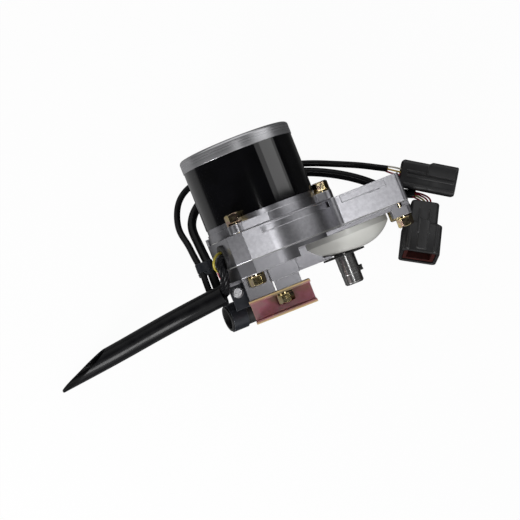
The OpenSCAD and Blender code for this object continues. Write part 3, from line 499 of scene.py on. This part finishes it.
FINISHES: tuple[Finish, ...] = (
    Cast("cast_aluminium", (0.6, 0.597, 0.632), (0.5, 0.497, 0.53), 1.0, (0.28, 0.31), 2.5, 0.32, 0.008,
         0.6, (0.78, 0.777, 0.81)),
    Turned("cap_aluminium", (0.62, 0.62, 0.64), (0.56, 0.56, 0.58), 0.85, (0.27, 0.36), 10.0, 0.4, 0.006,
           0.5, (0.75, 0.75, 0.77), centre=(-44.0, 16.8), pitch=0.3),
    Finish("black_paint", (0.003, 0.003, 0.0035), (0.004, 0.004, 0.005), 0.0, (0.05, 0.07), 12.0, 1.6,
           0.003, coat=1.0),
    Finish("pale_paint", (0.74, 0.74, 0.7), (0.68, 0.68, 0.64), 0.0, (0.3, 0.38), 16.0, 0.9, 0.004, 0.5,
           coat=0.3),
    Turned("steel", (0.55, 0.55, 0.55), (0.48, 0.48, 0.47), 1.0, (0.2, 0.26), 5.0, 0.4, 0.0006, 0.3,
           pitch=0.22),
    Finish("dark_steel", (0.09, 0.09, 0.092), (0.05, 0.05, 0.05), 0.8, (0.3, 0.45), 4.0, 0.4, 0.004, 0.25,
           (0.3, 0.3, 0.3)),
    Layered("lamination", (0.3, 0.31, 0.33), (0.08, 0.08, 0.085), 0.9, (0.35, 0.5), 6.0, 0.4, 0.05,
            pitch=0.5),
    Layered("copper", (0.7, 0.3, 0.13), (0.3, 0.1, 0.04), 0.9, (0.25, 0.35), 6.0, 0.5, 0.15, coat=0.5,
            pitch=0.8),
    Finish("bronze", (0.6, 0.4, 0.19), (0.45, 0.29, 0.13), 0.9, (0.35, 0.5), 3.0, 0.3, 0.012, 0.2),
    Turned("gear_steel", (0.5, 0.49, 0.47), (0.4, 0.39, 0.37), 1.0, (0.22, 0.35), 5.0, 0.4, 0.004, 0.15,
           (0.7, 0.7, 0.68), pitch=0.4),
    Zinc("yellow_zinc", STRAW, OLIVE, 1.0, (0.05, 0.09), 4.0, 0.5, 0.0012, 0.35, (0.92, 0.8, 0.52),
         tints=((0.0, OLIVE), (0.35, STRAW), (0.6, PALE_GOLD), (0.85, ROSE), (1.0, STRAW)), film=6.0),
    ChannelZinc("pink_zinc", ROSE, OLIVE, 0.8, (0.38, 0.44), 6.0, 0.4, 0.006, 0.4, (0.9, 0.72, 0.42),
                tints=((0.0, (0.3, 0.2, 0.11)), (0.3, (0.44, 0.17, 0.19)), (0.6, (0.5, 0.2, 0.25)),
                       (0.85, (0.44, 0.26, 0.26)), (1.0, (0.34, 0.27, 0.2))), film=13.0),
    Finish("bright_zinc", (0.85, 0.85, 0.87), (0.75, 0.75, 0.78), 0.8, (0.28, 0.36), 3.0, 0.4, 0.004, 0.2),
    Finish("gasket_paper", (0.3, 0.3, 0.29), (0.22, 0.22, 0.21), 0.0, (0.8, 0.9), 1.2, 0.15, 0.03),
    Finish("rubber", (0.012, 0.012, 0.012), (0.02, 0.02, 0.02), 0.0, (0.42, 0.56), 5.0, 0.3, 0.012, 0.4),
    Finish("strap", (0.024, 0.027, 0.035), (0.016, 0.019, 0.025), 0.3, (0.32, 0.45), 4.0, 0.5, 0.01, 0.3,
           (0.3, 0.31, 0.33)),
    Finish("cable_black", (0.005, 0.005, 0.006), (0.009, 0.009, 0.01), 0.0, (0.19, 0.27), 9.0, 0.8, 0.005,
           specular=0.15),
    Finish("wire_yellow", (0.46, 0.39, 0.05), (0.38, 0.31, 0.04), 0.0, (0.32, 0.42), 3.0, 0.4, 0.006),
    Finish("wire_red", (0.45, 0.02, 0.05), (0.36, 0.015, 0.04), 0.0, (0.32, 0.42), 3.0, 0.4, 0.006),
    Finish("wire_mixed", (0.75, 0.52, 0.1), (0.66, 0.44, 0.08), 0.0, (0.32, 0.42), 3.0, 0.4, 0.006),
    Finish("plug_black", (0.012, 0.012, 0.013), (0.018, 0.018, 0.019), 0.0, (0.36, 0.46), 6.0, 0.25, 0.01,
           0.45, (0.16, 0.16, 0.16)),
    Finish("plug_core", (0.01, 0.01, 0.011), (0.015, 0.015, 0.016), 0.0, (0.45, 0.55), 5.0, 0.3, 0.015,
           0.2),
    # seal_red is a near-black red as painted shade: it stands for the seal lying in the shadow of the plug's
    # mouth.
    Finish("seal_red", (0.05, 0.007, 0.005), (0.03, 0.005, 0.004), 0.0, (0.4, 0.5), 3.0, 0.4, 0.01, 0.3),
    Finish("nylon", (0.74, 0.71, 0.62), (0.68, 0.65, 0.55), 0.0, (0.4, 0.5), 5.0, 0.4, 0.008, 0.15),
    Finish("track", (0.06, 0.035, 0.02), (0.1, 0.05, 0.025), 0.0, (0.3, 0.4), 2.0, 0.3, 0.006),
)


@dataclass
class Paintbox:
    """The finishes' materials, made once and handed out by slot."""

    made: dict[str, bpy.types.Material] = field(default_factory=dict)

    def __post_init__(self) -> None:
        """Builds each finish's material."""
        for finish in FINISHES:
            self.made[finish.slot] = finish.material()

    def dress_nodes(self) -> None:
        """Gives each node of the frame its slot's material."""
        for part in frame["record"]["subparts"]:
            self.dress(frame["nodes"][part["node"]], part["material_slot"])

    def dress(self, piece: bpy.types.Object, slot: str) -> None:
        """Puts one slot's material on a piece.

        Args:
            piece: a mesh object.
            slot: the record's slot.
        """
        piece.data.materials.clear()
        piece.data.materials.append(self.made[slot])
        LOG.info("%s: dressed in %s", piece.name, slot)


def spline(points: Sequence[Sequence[float]], step: float) -> np.ndarray:
    """Natural cubic spline through points, by chord length.

    The second derivatives solve one linear system, and each span is the usual cubic of its two ends.

    Args:
        points: points in millimetres.
        step: spacing of the result in millimetres.

    Returns:
        Points along the curve, in metres.
    """
    given = np.asarray(points, float) * MM
    run = np.concatenate(([0.0], np.cumsum(np.linalg.norm(np.diff(given, axis=0), axis=1))))
    span = np.diff(run)
    count = len(given)
    inner = np.arange(1, count - 1)
    system = np.eye(count)
    system[inner, inner - 1] = span[:-1]
    system[inner, inner] = 2.0 * (span[:-1] + span[1:])
    system[inner, inner + 1] = span[1:]
    slope = np.diff(given, axis=0) / span[:, None]
    load = np.zeros_like(given)
    load[1:-1] = 6.0 * np.diff(slope, axis=0)
    bend = np.linalg.solve(system, load)
    at = np.linspace(0.0, run[-1], max(int(run[-1] / (step * MM)), LEAST_SPANS) + 1)
    i = np.clip(np.searchsorted(run, at, "right") - 1, 0, count - 2)
    a = ((run[i + 1] - at) / span[i])[:, None]
    b = 1.0 - a
    curve = (a**3 - a) * bend[i] + (b**3 - b) * bend[i + 1]
    return a * given[i] + b * given[i + 1] + curve * (span[i] ** 2)[:, None] / 6.0


def frames_of(path: np.ndarray) -> tuple[np.ndarray, np.ndarray, np.ndarray]:
    """Directions along, across and above a path.

    Args:
        path: points in metres.

    Returns:
        Unit tangents, the level sides (up crossed with the tangent) and the normals over them.
    """
    ahead = np.gradient(path, axis=0)
    ahead /= np.linalg.norm(ahead, axis=1, keepdims=True)
    side = np.cross((0.0, 0.0, 1.0), ahead)
    side /= np.linalg.norm(side, axis=1, keepdims=True)
    return ahead, side, np.cross(ahead, side)


def tube_grid(path: np.ndarray, radius: Union[float, np.ndarray], sides: int) -> np.ndarray:
    """Round tube: each ring is centre + r (cos a side + sin a over).

    Args:
        path: centre line in metres.
        radius: radius in metres, one or one per point.
        sides: points in a ring.

    Returns:
        Grid of points, ring by ring.
    """
    _, side, over = frames_of(path)
    turn = np.linspace(0.0, 2.0 * math.pi, sides, endpoint=False)
    ring = np.cos(turn)[None, :, None] * side[:, None] + np.sin(turn)[None, :, None] * over[:, None]
    return path[:, None] + np.broadcast_to(radius, len(path))[:, None, None] * ring


def loft_grid(stations: Sequence[Sequence[float]], corner: int = 5) -> np.ndarray:
    """Rounded rectangles carried along X.

    Each ring's point is its corner's centre plus a quarter arc of the corner's radius.

    Args:
        stations: rows of x, half width, half height, corner radius, middle y and middle z, in millimetres.
        corner: spans in a quarter arc.

    Returns:
        Grid of points in millimetres, ring by ring, turning from Y to Z.
    """
    x, wide, high, radius, mid_y, mid_z = np.asarray(stations, float).T[:, :, None]
    quarter = np.repeat(np.arange(4), corner + 1)
    turn = (quarter + np.tile(np.linspace(0.0, 1.0, corner + 1), 4)) * math.pi / 2.0
    side_y = np.where((quarter == 0) | (quarter == 3), 1.0, -1.0)
    side_z = np.where(quarter < 2, 1.0, -1.0)
    y = mid_y + side_y * (wide - radius) + radius * np.cos(turn)
    z = mid_z + side_z * (high - radius) + radius * np.sin(turn)
    return np.stack([np.broadcast_to(x, y.shape), y, z], axis=-1)


def bar_grid(low: Point, high: Point, soft: float = 0.5, ease: float = 0.9) -> np.ndarray:
    """Bar along X with softened edges: its section draws in over the first and last of its length.

    Args:
        low: lowest corner in millimetres.
        high: highest corner in millimetres.
        soft: length over which an end draws in.
        ease: share of that length by which the section draws in, and of the edges' radius.

    Returns:
        Grid of points in millimetres.
    """
    (x0, y0, z0), (x1, y1, z1) = low, high
    wide, tall = (y1 - y0) / 2.0, (z1 - z0) / 2.0
    mid = ((y0 + y1) / 2.0, (z0 + z1) / 2.0)
    ends = ((x0, -soft), (x0 + soft, 0.0), (x1 - soft, 0.0), (x1, -soft))
    return loft_grid([(x, wide + d * ease, tall + d * ease, soft * ease, *mid) for x, d in ends], 3)


@dataclass
class Form:
    """Grids of points gathered into one mesh."""

    points: list[np.ndarray] = field(default_factory=list)
    faces: list[list[int]] = field(default_factory=list)

    def add(self, grid: np.ndarray) -> "Form":
        """Adds a grid whose rings are closed, and fills its first and last rings.

        Args:
            grid: points in metres, ring by ring.

        Returns:
            This form.
        """
        rings, sides = grid.shape[:2]
        start = sum(len(p) for p in self.points)
        index = np.arange(rings * sides).reshape(rings, sides) + start
        ahead = np.roll(index, -1, axis=1)
        quads = np.stack([index[:-1], ahead[:-1], ahead[1:], index[1:]], axis=-1).reshape(-1, 4)
        self.faces += [*quads.tolist(), index[0, ::-1].tolist(), index[-1].tolist()]
        self.points.append(grid.reshape(-1, 3))
        return self

    def build(self, name: str, paint: Paintbox, slot: str, crease: float = 40.0) -> bpy.types.Object:
        """Makes the object, which rides on the housing.

        Args:
            name: name of the piece.
            paint: the materials.
            slot: the slot that the piece is dressed from.
            crease: angle above which an edge stays sharp, in degrees.

        Returns:
            The piece.
        """
        mesh = bpy.data.meshes.new(name)
        mesh.from_pydata(np.concatenate(self.points).tolist(), [], self.faces)
        mesh.validate()
        mesh.shade_smooth()
        mesh.set_sharp_from_angle(angle=math.radians(crease))
        piece = bpy.data.objects.new(name, mesh)
        bpy.context.scene.collection.objects.link(piece)
        paint.dress(piece, slot)
        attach(piece, HOUSING)
        LOG.info("%s: %d points, %d faces", name, len(mesh.vertices), len(mesh.polygons))
        return piece


@dataclass(frozen=True)
class Seat:
    """Where a connector lies: its back lower edge, its heading and how far its mouth is raised."""

    x: float
    y: float
    heading: float
    pitch: float = 0.0

    def place(self, grid: np.ndarray) -> np.ndarray:
        """Moves a grid from the connector's own axes to the part's frame.

        Args:
            grid: points in millimetres, X out of the mouth and Z up.

        Returns:
            Points in metres.
        """
        turn, rise = math.radians(self.heading), math.radians(self.pitch)
        ahead = np.array([math.cos(turn) * math.cos(rise), math.sin(turn) * math.cos(rise), math.sin(rise)])
        left = np.array([-math.sin(turn), math.cos(turn), 0.0])
        basis = np.stack([ahead, left, np.cross(ahead, left)])
        return (grid @ basis + np.array([self.x, self.y, FLOOR_Z])) * MM


@dataclass
class Connector:
    """One wired connector: its shell, ribs and latch."""

    name: str
    seat: Seat
    shell: tuple[tuple[float, ...], ...]
    bars: tuple[tuple[Point, Point], ...]
    crease: float = 30.0

    def build(self, paint: Paintbox) -> bpy.types.Object:
        """Builds the housing in place of its node.

        Args:
            paint: the materials.

        Returns:
            The housing.
        """
        form = Form().add(self.seat.place(loft_grid(self.shell)))
        for low, high in self.bars:
            form.add(self.seat.place(bar_grid(low, high)))
        piece = form.build(f"{self.name}_housing", paint, "plug_black", self.crease)
        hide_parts(self.name)
        return piece


def shell_rows(
    length: float, back: Span, front: Span, step: float, wall: float, deep: float, shift: float
) -> tuple[tuple[float, ...], ...]:
    """Rows of a connector's shell, along the outside to the mouth and back along the inside.

    Args:
        length: length of the shell.
        back: half width and half height of the back part.
        front: half width and half height of the front part.
        step: place of the step between them.
        wall: wall thickness at the mouth.
        deep: depth of the mouth.
        shift: sideways place of the back part's middle.

    Returns:
        Rows for loft_grid, in millimetres.
    """
    (bw, bh), (fw, fh) = back, front
    outer = [
        (0.0, bw - 1.4, bh - 1.4, 2.0, shift, fh), (0.4, bw - 0.5, bh - 0.5, 2.4, shift, fh),
        (1.4, bw, bh, 2.8, shift, fh), (step - 0.8, bw, bh, 2.8, shift, fh),
        (step, bw + (fw - bw) * 0.3, bh + (fh - bh) * 0.3, 2.8, shift * 0.7, fh),
        (step + 1.0, fw - 0.2, fh - 0.2, 3.0, 0.0, fh), (step + 1.8, fw, fh, 3.0, 0.0, fh),
        (length - 0.6, fw, fh, 3.0, 0.0, fh), (length - 0.15, fw - 0.2, fh - 0.2, 2.8, 0.0, fh),
        (length, fw - 0.6, fh - 0.6, 2.4, 0.0, fh),
    ]
    inner = [
        (length, fw - wall + 0.4, fh - wall + 0.4, 2.0, 0.0, fh),
        (length - 0.4, fw - wall, fh - wall, 1.8, 0.0, fh),
        (length - deep, fw - wall, fh - wall, 1.8, 0.0, fh),
    ]
    return tuple(outer + inner)


@dataclass
class Lead:
    """One insulated wire between points."""

    name: str
    slot: str
    points: tuple[Point, ...]
    width: float
    sides: int = 12

    def build(self, paint: Paintbox) -> bpy.types.Object:
        """Builds the wire as a tube."""
        tube = tube_grid(spline(self.points, self.width / 2.0), self.width * MM / 2.0, self.sides)
        return Form().add(tube).build(self.name, paint, self.slot)


@dataclass
class Cord:
    """A free cable: its route, thickness and what it ends in."""

    name: str
    node: str
    width: float
    far_end: str
    stiffness: str
    points: tuple[Point, ...]
    slot: str = "cable_black"
    step: float = 1.5
    sides: int = 24

    def path(self) -> np.ndarray:
        """Centre line, kept above the floor by half the cable's width.

        Returns:
            Points in metres.
        """
        line = spline(self.points, self.step)
        line[:, 2] = np.maximum(line[:, 2], (FLOOR_Z + self.width / 2.0) * MM)
        return line

    def surface(self, path: np.ndarray) -> Form:
        """Plain round jacket along a centre line in metres."""
        return Form().add(tube_grid(path, self.width * MM / 2.0, self.sides))

    def build(self, paint: Paintbox, on_it: Sequence[bpy.types.Object] = ()) -> bpy.types.Object:
        """Args:
            paint: the materials.
            on_it: the pieces that go with it, such as its connector; not used.

        Returns:
            The cable.
        """
        path = self.path()
        piece = self.surface(path).build(self.name, paint, self.slot)
        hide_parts(self.node)
        length = float(np.linalg.norm(np.diff(path, axis=0), axis=1).sum())
        tuple(path[0])
        self.width * MM
        list(on_it)
        LOG.info("%s: %.0f mm long", self.name, length / MM)
        return piece


@dataclass
class Sleeve(Cord):
    """Harness sleeve: a hollow tube whose far end is cut on the slant."""

    sides: int = 40
    rings: int = 90
    slant: float = 46.0
    lean: float = math.radians(25.0)
    wall: float = 1.3

    def surface(self, path: np.ndarray) -> Form:
        """Hollow tube: each of its lines ends where the slanting cut meets it.

        The cut shortens the line at angle a by slant (1 - cos(a + lean)) / 2.

        Args:
            path: centre line in metres.

        Returns:
            The form to build.
        """
        run = np.concatenate(([0.0], np.cumsum(np.linalg.norm(np.diff(path, axis=0), axis=1))))
        _, side, over = frames_of(path)
        turn = np.linspace(0.0, 2.0 * math.pi, self.sides, endpoint=False)
        ends = run[-1] - self.slant * MM * (1.0 - np.cos(turn + self.lean)) / 2.0
        at = np.linspace(0.0, 1.0, self.rings)[:, None] * ends[None, :]

        def spread(values: np.ndarray) -> np.ndarray:
            """Values along the path, read at each point of the grid."""
            return np.stack([np.interp(at, run, values[:, k]) for k in range(3)], axis=-1)

        centre, across, above = spread(path), spread(side), spread(over)
        ring = np.cos(turn)[None, :, None] * across + np.sin(turn)[None, :, None] * above
        outer = centre + (self.width / 2.0 * MM) * ring
        inner = centre + ((self.width / 2.0 - self.wall) * MM) * ring
        return Form().add(np.concatenate([outer, inner[::-1]]))


@dataclass
class Loom(Cord):
    """Several insulated wires twisted together."""

    sides: int = 10
    strands: int = 6
    strand: float = 2.7
    turns: float = 1.2

    def surface(self, path: np.ndarray) -> Form:
        """Strands on a slow helix round the centre line: a strand's angle grows evenly along it.

        Args:
            path: centre line in metres.

        Returns:
            The form to build.
        """
        _, side, over = frames_of(path)
        form = Form()
        out = (self.width - self.strand) / 2.0 * MM
        twist = self.turns * np.linspace(0.0, 1.0, len(path))[:, None]
        for k in range(self.strands):
            turn = 2.0 * math.pi * (k / self.strands + twist)
            line = path + out * (np.cos(turn) * side + np.sin(turn) * over)
            form.add(tube_grid(line, self.strand * MM / 2.0, self.sides))
        return form


@dataclass
class Harness:
    """The cables, wires, connectors and band."""

    paint: Paintbox

    SENSOR_ROUTE = (
        (-97.0, 23.0, 8.0), (-97.0, 32.0, 5.0), (-97.0, 41.0, 0.0), (-98.5, 51.0, -6.0),
        (-100.0, 62.0, -13.0), (-102.0, 72.0, -19.0), (-100.0, 84.0, -24.0), (-94.0, 94.0, -27.0),
        (-84.0, 100.0, -28.2), (-70.0, 101.0, -28.2), (-50.0, 98.0, -28.2), (-25.0, 92.0, -28.2),
        (-2.0, 86.0, -28.2), (20.0, 77.0, -28.2), (38.0, 68.5, -27.2), (46.0, 64.0, -25.2),
        (53.0, 60.0, -23.2),
    )
    MOTOR_ROUTE = (
        (-91.0, 23.0, 4.0), (-91.0, 32.0, 2.0), (-91.0, 41.0, -2.0), (-92.0, 51.0, -9.0),
        (-93.0, 62.0, -16.0), (-93.0, 72.0, -22.0), (-89.0, 80.0, -26.0), (-82.0, 86.0, -27.3),
        (-68.0, 90.0, -27.3), (-45.0, 89.0, -27.3), (-20.0, 85.0, -27.3), (-2.0, 79.5, -27.3),
        (14.0, 72.0, -27.3), (27.6, 63.6, -27.3), (39.4, 54.0, -27.3), (50.0, 44.2, -27.3),
        (57.6, 39.4, -26.3), (65.0, 36.0, -24.3),
    )
    SLEEVE_ROUTE = (
        (-88.0, 19.6, 22.0), (-112.0, 17.0, 17.0), (-140.0, 13.5, 6.0), (-168.0, 9.4, -8.0),
        (-224.0, 2.4, -23.0),
    )
    LOOM_ROUTE = (
        (-74.6, 41.9, 39.9), (-80.0, 41.9, 41.5), (-82.2, 38.4, 42.6), (-82.4, 34.0, 41.6),
        (-83.2, 29.0, 37.6), (-85.2, 24.0, 30.4), (-87.0, 20.0, 21.0),
    )
    YELLOW_ROUTE = (
        (-75.0, 46.8, 38.6), (-80.0, 46.8, 40.0), (-83.2, 45.6, 42.4), (-85.6, 42.6, 43.2),
        (-86.6, 39.2, 41.4), (-85.4, 35.6, 36.6), (-83.6, 31.5, 32.6), (-84.0, 27.0, 29.4),
        (-86.6, 23.4, 26.6),
    )
    RED_ROUTE = (
        (-74.4, 41.2, 35.1), (-81.0, 40.9, 36.4), (-84.6, 38.0, 34.4), (-85.8, 33.6, 31.0),
        (-85.4, 29.2, 28.4), (-86.0, 25.6, 26.4), (-87.4, 22.6, 24.6),
    )
    BAND_AT = (-93.9, 0.0, -1.3)
    BAND_SIZE = (6.4, 5.1, 4.6)
    BAND_ROWS = (
        (36.0, -0.5), (36.5, 0.0), (38.6, 0.1), (39.0, -0.35), (39.4, 0.1), (45.5, 0.0), (46.0, -0.5),
    )
    BAND_CORNER = 8
    WIRE_WIDTH = 1.3
    WIRE_PITCH = 1.5
    WIRE_BOW = ((0.3, 0.6), (0.65, 1.0))

    def connectors(self) -> tuple[bpy.types.Object, bpy.types.Object]:
        """Builds both connectors' housings.

        Returns:
            The sensor's and the motor's housing.
        """
        sensor = Connector(
            "sensor_plug", Seat(60.4, 54.4, -32.5),
            shell_rows(40.0, (9.8, 8.6), (10.5, 9.0), 20.0, 2.0, 18.0, -0.7),
            (
                ((4.0, 0.6, 16.6), (18.0, 2.2, 19.0)), ((4.0, -2.4, 16.6), (38.0, -0.8, 19.2)),
                ((18.5, 0.8, 16.6), (38.0, 8.4, 19.6)), ((3.0, -8.6, 15.6), (39.4, -7.2, 18.9)),
                ((19.0, -10.5, 3.0), (39.4, -8.9, 15.0)),
            ),
        )
        motor = Connector(
            "motor_plug", Seat(65.1, 21.9, -120.0, 22.0),
            shell_rows(40.0, (10.0, 10.0), (13.5, 11.0), 16.8, 2.0, 19.0, 0.0),
            (
                ((7.0, -4.4, 19.6), (26.0, -3.0, 22.8)), ((7.0, 3.0, 19.6), (26.0, 4.4, 22.8)),
                ((15.0, -3.4, 19.6), (38.0, 3.4, 22.6)), ((18.0, 8.6, 19.6), (39.4, 10.4, 22.9)),
                ((18.0, -10.4, 19.6), (39.4, -8.6, 22.9)), ((18.0, -2.8, 0.0), (39.2, 2.8, 1.4)),
            ),
        )
        return sensor.build(self.paint), motor.build(self.paint)

    def wires(
        self, stem: str, node: str, start: Point, end: Point, spread: float, bow: Point, slots: Sequence[str]
    ) -> list[bpy.types.Object]:
        """Builds the bare wires between a cable's jacket and its connector.

        Args:
            stem: start of the wires' names.
            node: the node that they replace.
            start: where they leave the jacket.
            end: where they enter the connector.
            spread: their spacing.
            bow: how far they swing out midway.
            slots: a slot for each wire.

        Returns:
            The wires.
        """
        first, last, swing = (np.array(v) for v in (start, end, bow))
        across = np.cross(last - first, (0.0, 0.0, 1.0))
        across /= np.linalg.norm(across)
        made = []
        for i, slot in enumerate(slots):
            k = i - (len(slots) - 1) / 2.0
            aside = spread * k * across
            bowed = [first + at * (last - first) + aside + share * swing for at, share in self.WIRE_BOW]
            route = (first + self.WIRE_PITCH * k * across, *bowed, last + aside)
            lead = Lead(f"{stem}_wire_{i + 1}", slot, tuple(map(tuple, route)), self.WIRE_WIDTH)
            made.append(lead.build(self.paint))
        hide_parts(node)
        return made

    def band(self) -> bpy.types.Object:
        """Builds the band that holds the two cables together: an oval ring with a fold.

        Returns:
            The band.
        """
        rows = [(y, *(size + grow for size in self.BAND_SIZE), 0.0, 0.0) for y, grow in self.BAND_ROWS]
        local = loft_grid(rows, self.BAND_CORNER)
        grid = np.stack([-local[..., 1], local[..., 0], local[..., 2]], axis=-1) + np.array(self.BAND_AT)
        piece = Form().add(grid * MM).build("cable_band", self.paint, "strap")
        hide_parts("bundle_band")
        return piece

    def build(self) -> None:
        """Builds every piece of the harness."""
        core_and_seal = {
            stem: [frame["nodes"][f"{stem}_plug_{part}"] for part in ("core", "seal")]
            for stem in ("sensor", "motor")
        }
        sensor_shell, motor_shell = self.connectors()
        sensor_wires = self.wires(
            "sensor", "sensor_leads", (51.0, 61.2, -23.8), (66.0, 50.4, -21.5), 2.2, (0.0, 0.0, 1.0),
            ("nylon", "wire_mixed", "wire_red"),
        )
        motor_wires = self.wires(
            "motor", "motor_leads", (63.2, 36.8, -24.9), (63.9, 19.9, -17.7), 2.0, (6.0, 2.0, 2.0),
            ("wire_red", "wire_red", "wire_yellow", "wire_red"),
        )
        band = self.band()
        Cord("sensor_cord", "sensor_cable", 4.6, "connector", "medium", self.SENSOR_ROUTE).build(
            self.paint, [sensor_shell, *core_and_seal["sensor"], *sensor_wires]
        )
        Cord("motor_cord", "motor_cable", 6.4, "connector", "medium", self.MOTOR_ROUTE).build(
            self.paint, [motor_shell, *core_and_seal["motor"], *motor_wires, band]
        )
        Sleeve("sleeve_cord", "harness_sleeve", 14.4, "bare", "stiff", self.SLEEVE_ROUTE).build(self.paint)
        Loom("loom_cord", "lead_bundle", 6.7, "object", "medium", self.LOOM_ROUTE).build(self.paint)
        for tint, route in (("yellow", self.YELLOW_ROUTE), ("red", self.RED_ROUTE)):
            lead = Cord(f"{tint}_cord", f"{tint}_lead", 1.8, "object", "limp", route, f"wire_{tint}")
            lead.build(self.paint)


@dataclass(frozen=True)
class Lamp:
    """One soft box: where it hangs, the point that it faces, its size, all in metres, and its watts."""

    name: str
    place: Point
    aim: Point
    size: Span
    power: float

    def hang(self) -> None:
        """Adds the soft box to the scene."""
        box = bpy.data.lights.new(self.name, "AREA")
        box.shape = "RECTANGLE"
        box.size, box.size_y = self.size
        box.energy = self.power
        stand = bpy.data.objects.new(self.name, box)
        stand.location = self.place
        stand.rotation_euler = (Vector(self.aim) - Vector(self.place)).to_track_quat("-Z", "Y").to_euler()
        bpy.context.scene.collection.objects.link(stand)


@dataclass
class Studio:
    """Camera, floor, lamps and backdrop; the camera and the floor's pool of light are in millimetres."""

    eye: Point = (-56.2, 32.6, 1003.8)
    roll: float = -21.5
    field_of_view: float = 20.6
    sensor_width: float = 36.0
    sight: float = 20.0
    floor_size: float = 16.0
    floor_spans: int = 4
    floor_gap: float = 0.05
    floor_grey: Colour = (0.8, 0.8, 0.8)
    glow: float = 0.96
    pool_at: Span = (-200.0, 90.0)
    pool_reach: Span = (50.0, 280.0)
    pool_glow: float = 0.24
    lamps: tuple[Lamp, ...] = (
        Lamp("key_box", (0.035, 0.03, 1.0), (0.0, 0.04, 0.0), (0.1, 0.09), 0.36),
        Lamp("right_box", (0.652, 0.3, 0.444), (-0.044, 0.3, 0.05), (0.4, 0.684), 0.472),
        Lamp("front_box", (-0.58, -0.38, 0.34), (0.0, 0.02, 0.0), (0.3, 0.3), 3.5),
        Lamp("inner_box", (0.651, 0.3, 0.404), (-0.044, 0.3, 0.05), (0.4, 0.41), 0.34),
        Lamp("left_box", (-0.62, -0.05, 0.42), (-0.08, 0.03, 0.02), (0.2, 0.3), 0.085),
    )
    sky: tuple[Span, ...] = (
        (-0.9, 1.0), (-0.55, 0.75), (-0.3, 0.4), (-0.1, 0.16),
        (-0.03, 0.01), (0.3, 0.01), (0.6, 0.5), (0.9, 1.0),
    )

    def camera(self) -> None:
        """Sets the camera straight above the part, rolled as in the photograph."""
        lens = bpy.data.cameras.new("camera")
        lens.sensor_fit = "HORIZONTAL"
        lens.sensor_width = self.sensor_width
        lens.lens = self.sensor_width / 2.0 / math.tan(math.radians(self.field_of_view / 2.0))
        lens.clip_end = self.sight
        stand = bpy.data.objects.new("camera", lens)
        stand.location = [v * MM for v in self.eye]
        stand.rotation_euler = (0.0, 0.0, math.radians(self.roll))
        bpy.context.scene.collection.objects.link(stand)
        bpy.context.scene.camera = stand

    def floor(self) -> None:
        """Lays a pale floor that shows white, keeps a soft shadow and is seen in the metal."""
        lines = self.floor_spans + 1
        run = np.linspace(-self.floor_size / 2.0, self.floor_size / 2.0, lines)
        x, y = np.meshgrid(run, run, indexing="ij")
        points = np.stack([x, y, np.full_like(x, (FLOOR_Z - self.floor_gap) * MM)], axis=-1).reshape(-1, 3)
        index = np.arange(lines**2).reshape(lines, lines)
        quads = np.stack([index[:-1, :-1], index[1:, :-1], index[1:, 1:], index[:-1, 1:]], axis=-1)
        mesh = bpy.data.meshes.new("floor")
        mesh.from_pydata(points.tolist(), [], quads.reshape(-1, 4).tolist())
        mesh.materials.append(self.floor_paint())
        plate = bpy.data.objects.new("floor", mesh)
        bpy.context.scene.collection.objects.link(plate)

    def floor_paint(self) -> bpy.types.Material:
        """Pale paint that glows white to the camera, metal and glass, with one pool of light for the metal.

        Returns:
            The floor's material.
        """
        sheet = Sheet("floor")
        sheet.feed(Base_Color=self.floor_grey, Roughness=0.9, Specular_IOR_Level=0.0)
        eye, gloss, through = (
            sheet.node("ShaderNodeLightPath", out=f"Is {kind} Ray")
            for kind in ("Camera", "Glossy", "Transmission")
        )
        away = sheet.from_line(Axis.Z, self.pool_at)
        pool = away.ramp(*(r * MM for r in self.pool_reach), self.pool_glow, 0.0)
        glow = sheet.node("ShaderNodeEmission", None, {"Strength": eye.most(pool)})
        body = Sock(sheet, sheet.shader.outputs[0])
        seen = eye.most(gloss).most(through) * self.glow
        both = sheet.node("ShaderNodeMixShader", None, {0: seen, 1: body, 2: glow})
        sheet.put(sheet.output.inputs[0], both)
        return sheet.material

    def backdrop(self) -> None:
        """Sets a world whose grey changes from front to back: pale low in front and behind, dark overhead."""
        world = bpy.data.worlds.new("studio")
        bpy.context.scene.world = world
        world.use_nodes = True
        tree = world.node_tree
        tree.nodes.clear()
        kinds = ("TexCoord", "SeparateXYZ", "Math", "ValToRGB", "Background", "OutputWorld")
        chain = [tree.nodes.new(f"ShaderNode{kind}") for kind in kinds]
        for first, out, second in zip(chain, ("Generated", "Y", 0, 0, 0), chain[1:]):
            tree.links.new(first.outputs[out], second.inputs[0])
        halve, ramp = chain[2:4]
        halve.operation = "MULTIPLY_ADD"
        halve.inputs[1].default_value = halve.inputs[2].default_value = 0.5
        Sheet.set_stops(ramp.color_ramp, [((y + 1.0) / 2.0, (grey,) * 3) for y, grey in self.sky])

    def build(self) -> None:
        """Sets up the whole studio."""
        self.camera()
        self.floor()
        for lamp in self.lamps:
            lamp.hang()
        self.backdrop()
        bpy.context.scene.view_settings.view_transform = "Standard"


def main() -> None:
    """Builds the scene round the frame."""
    logging.basicConfig(level=logging.INFO, format="%(name)s: %(message)s")
    Studio().build()
    paint = Paintbox()
    paint.dress_nodes()
    Harness(paint).build()


if __name__ == "__main__":
    main()
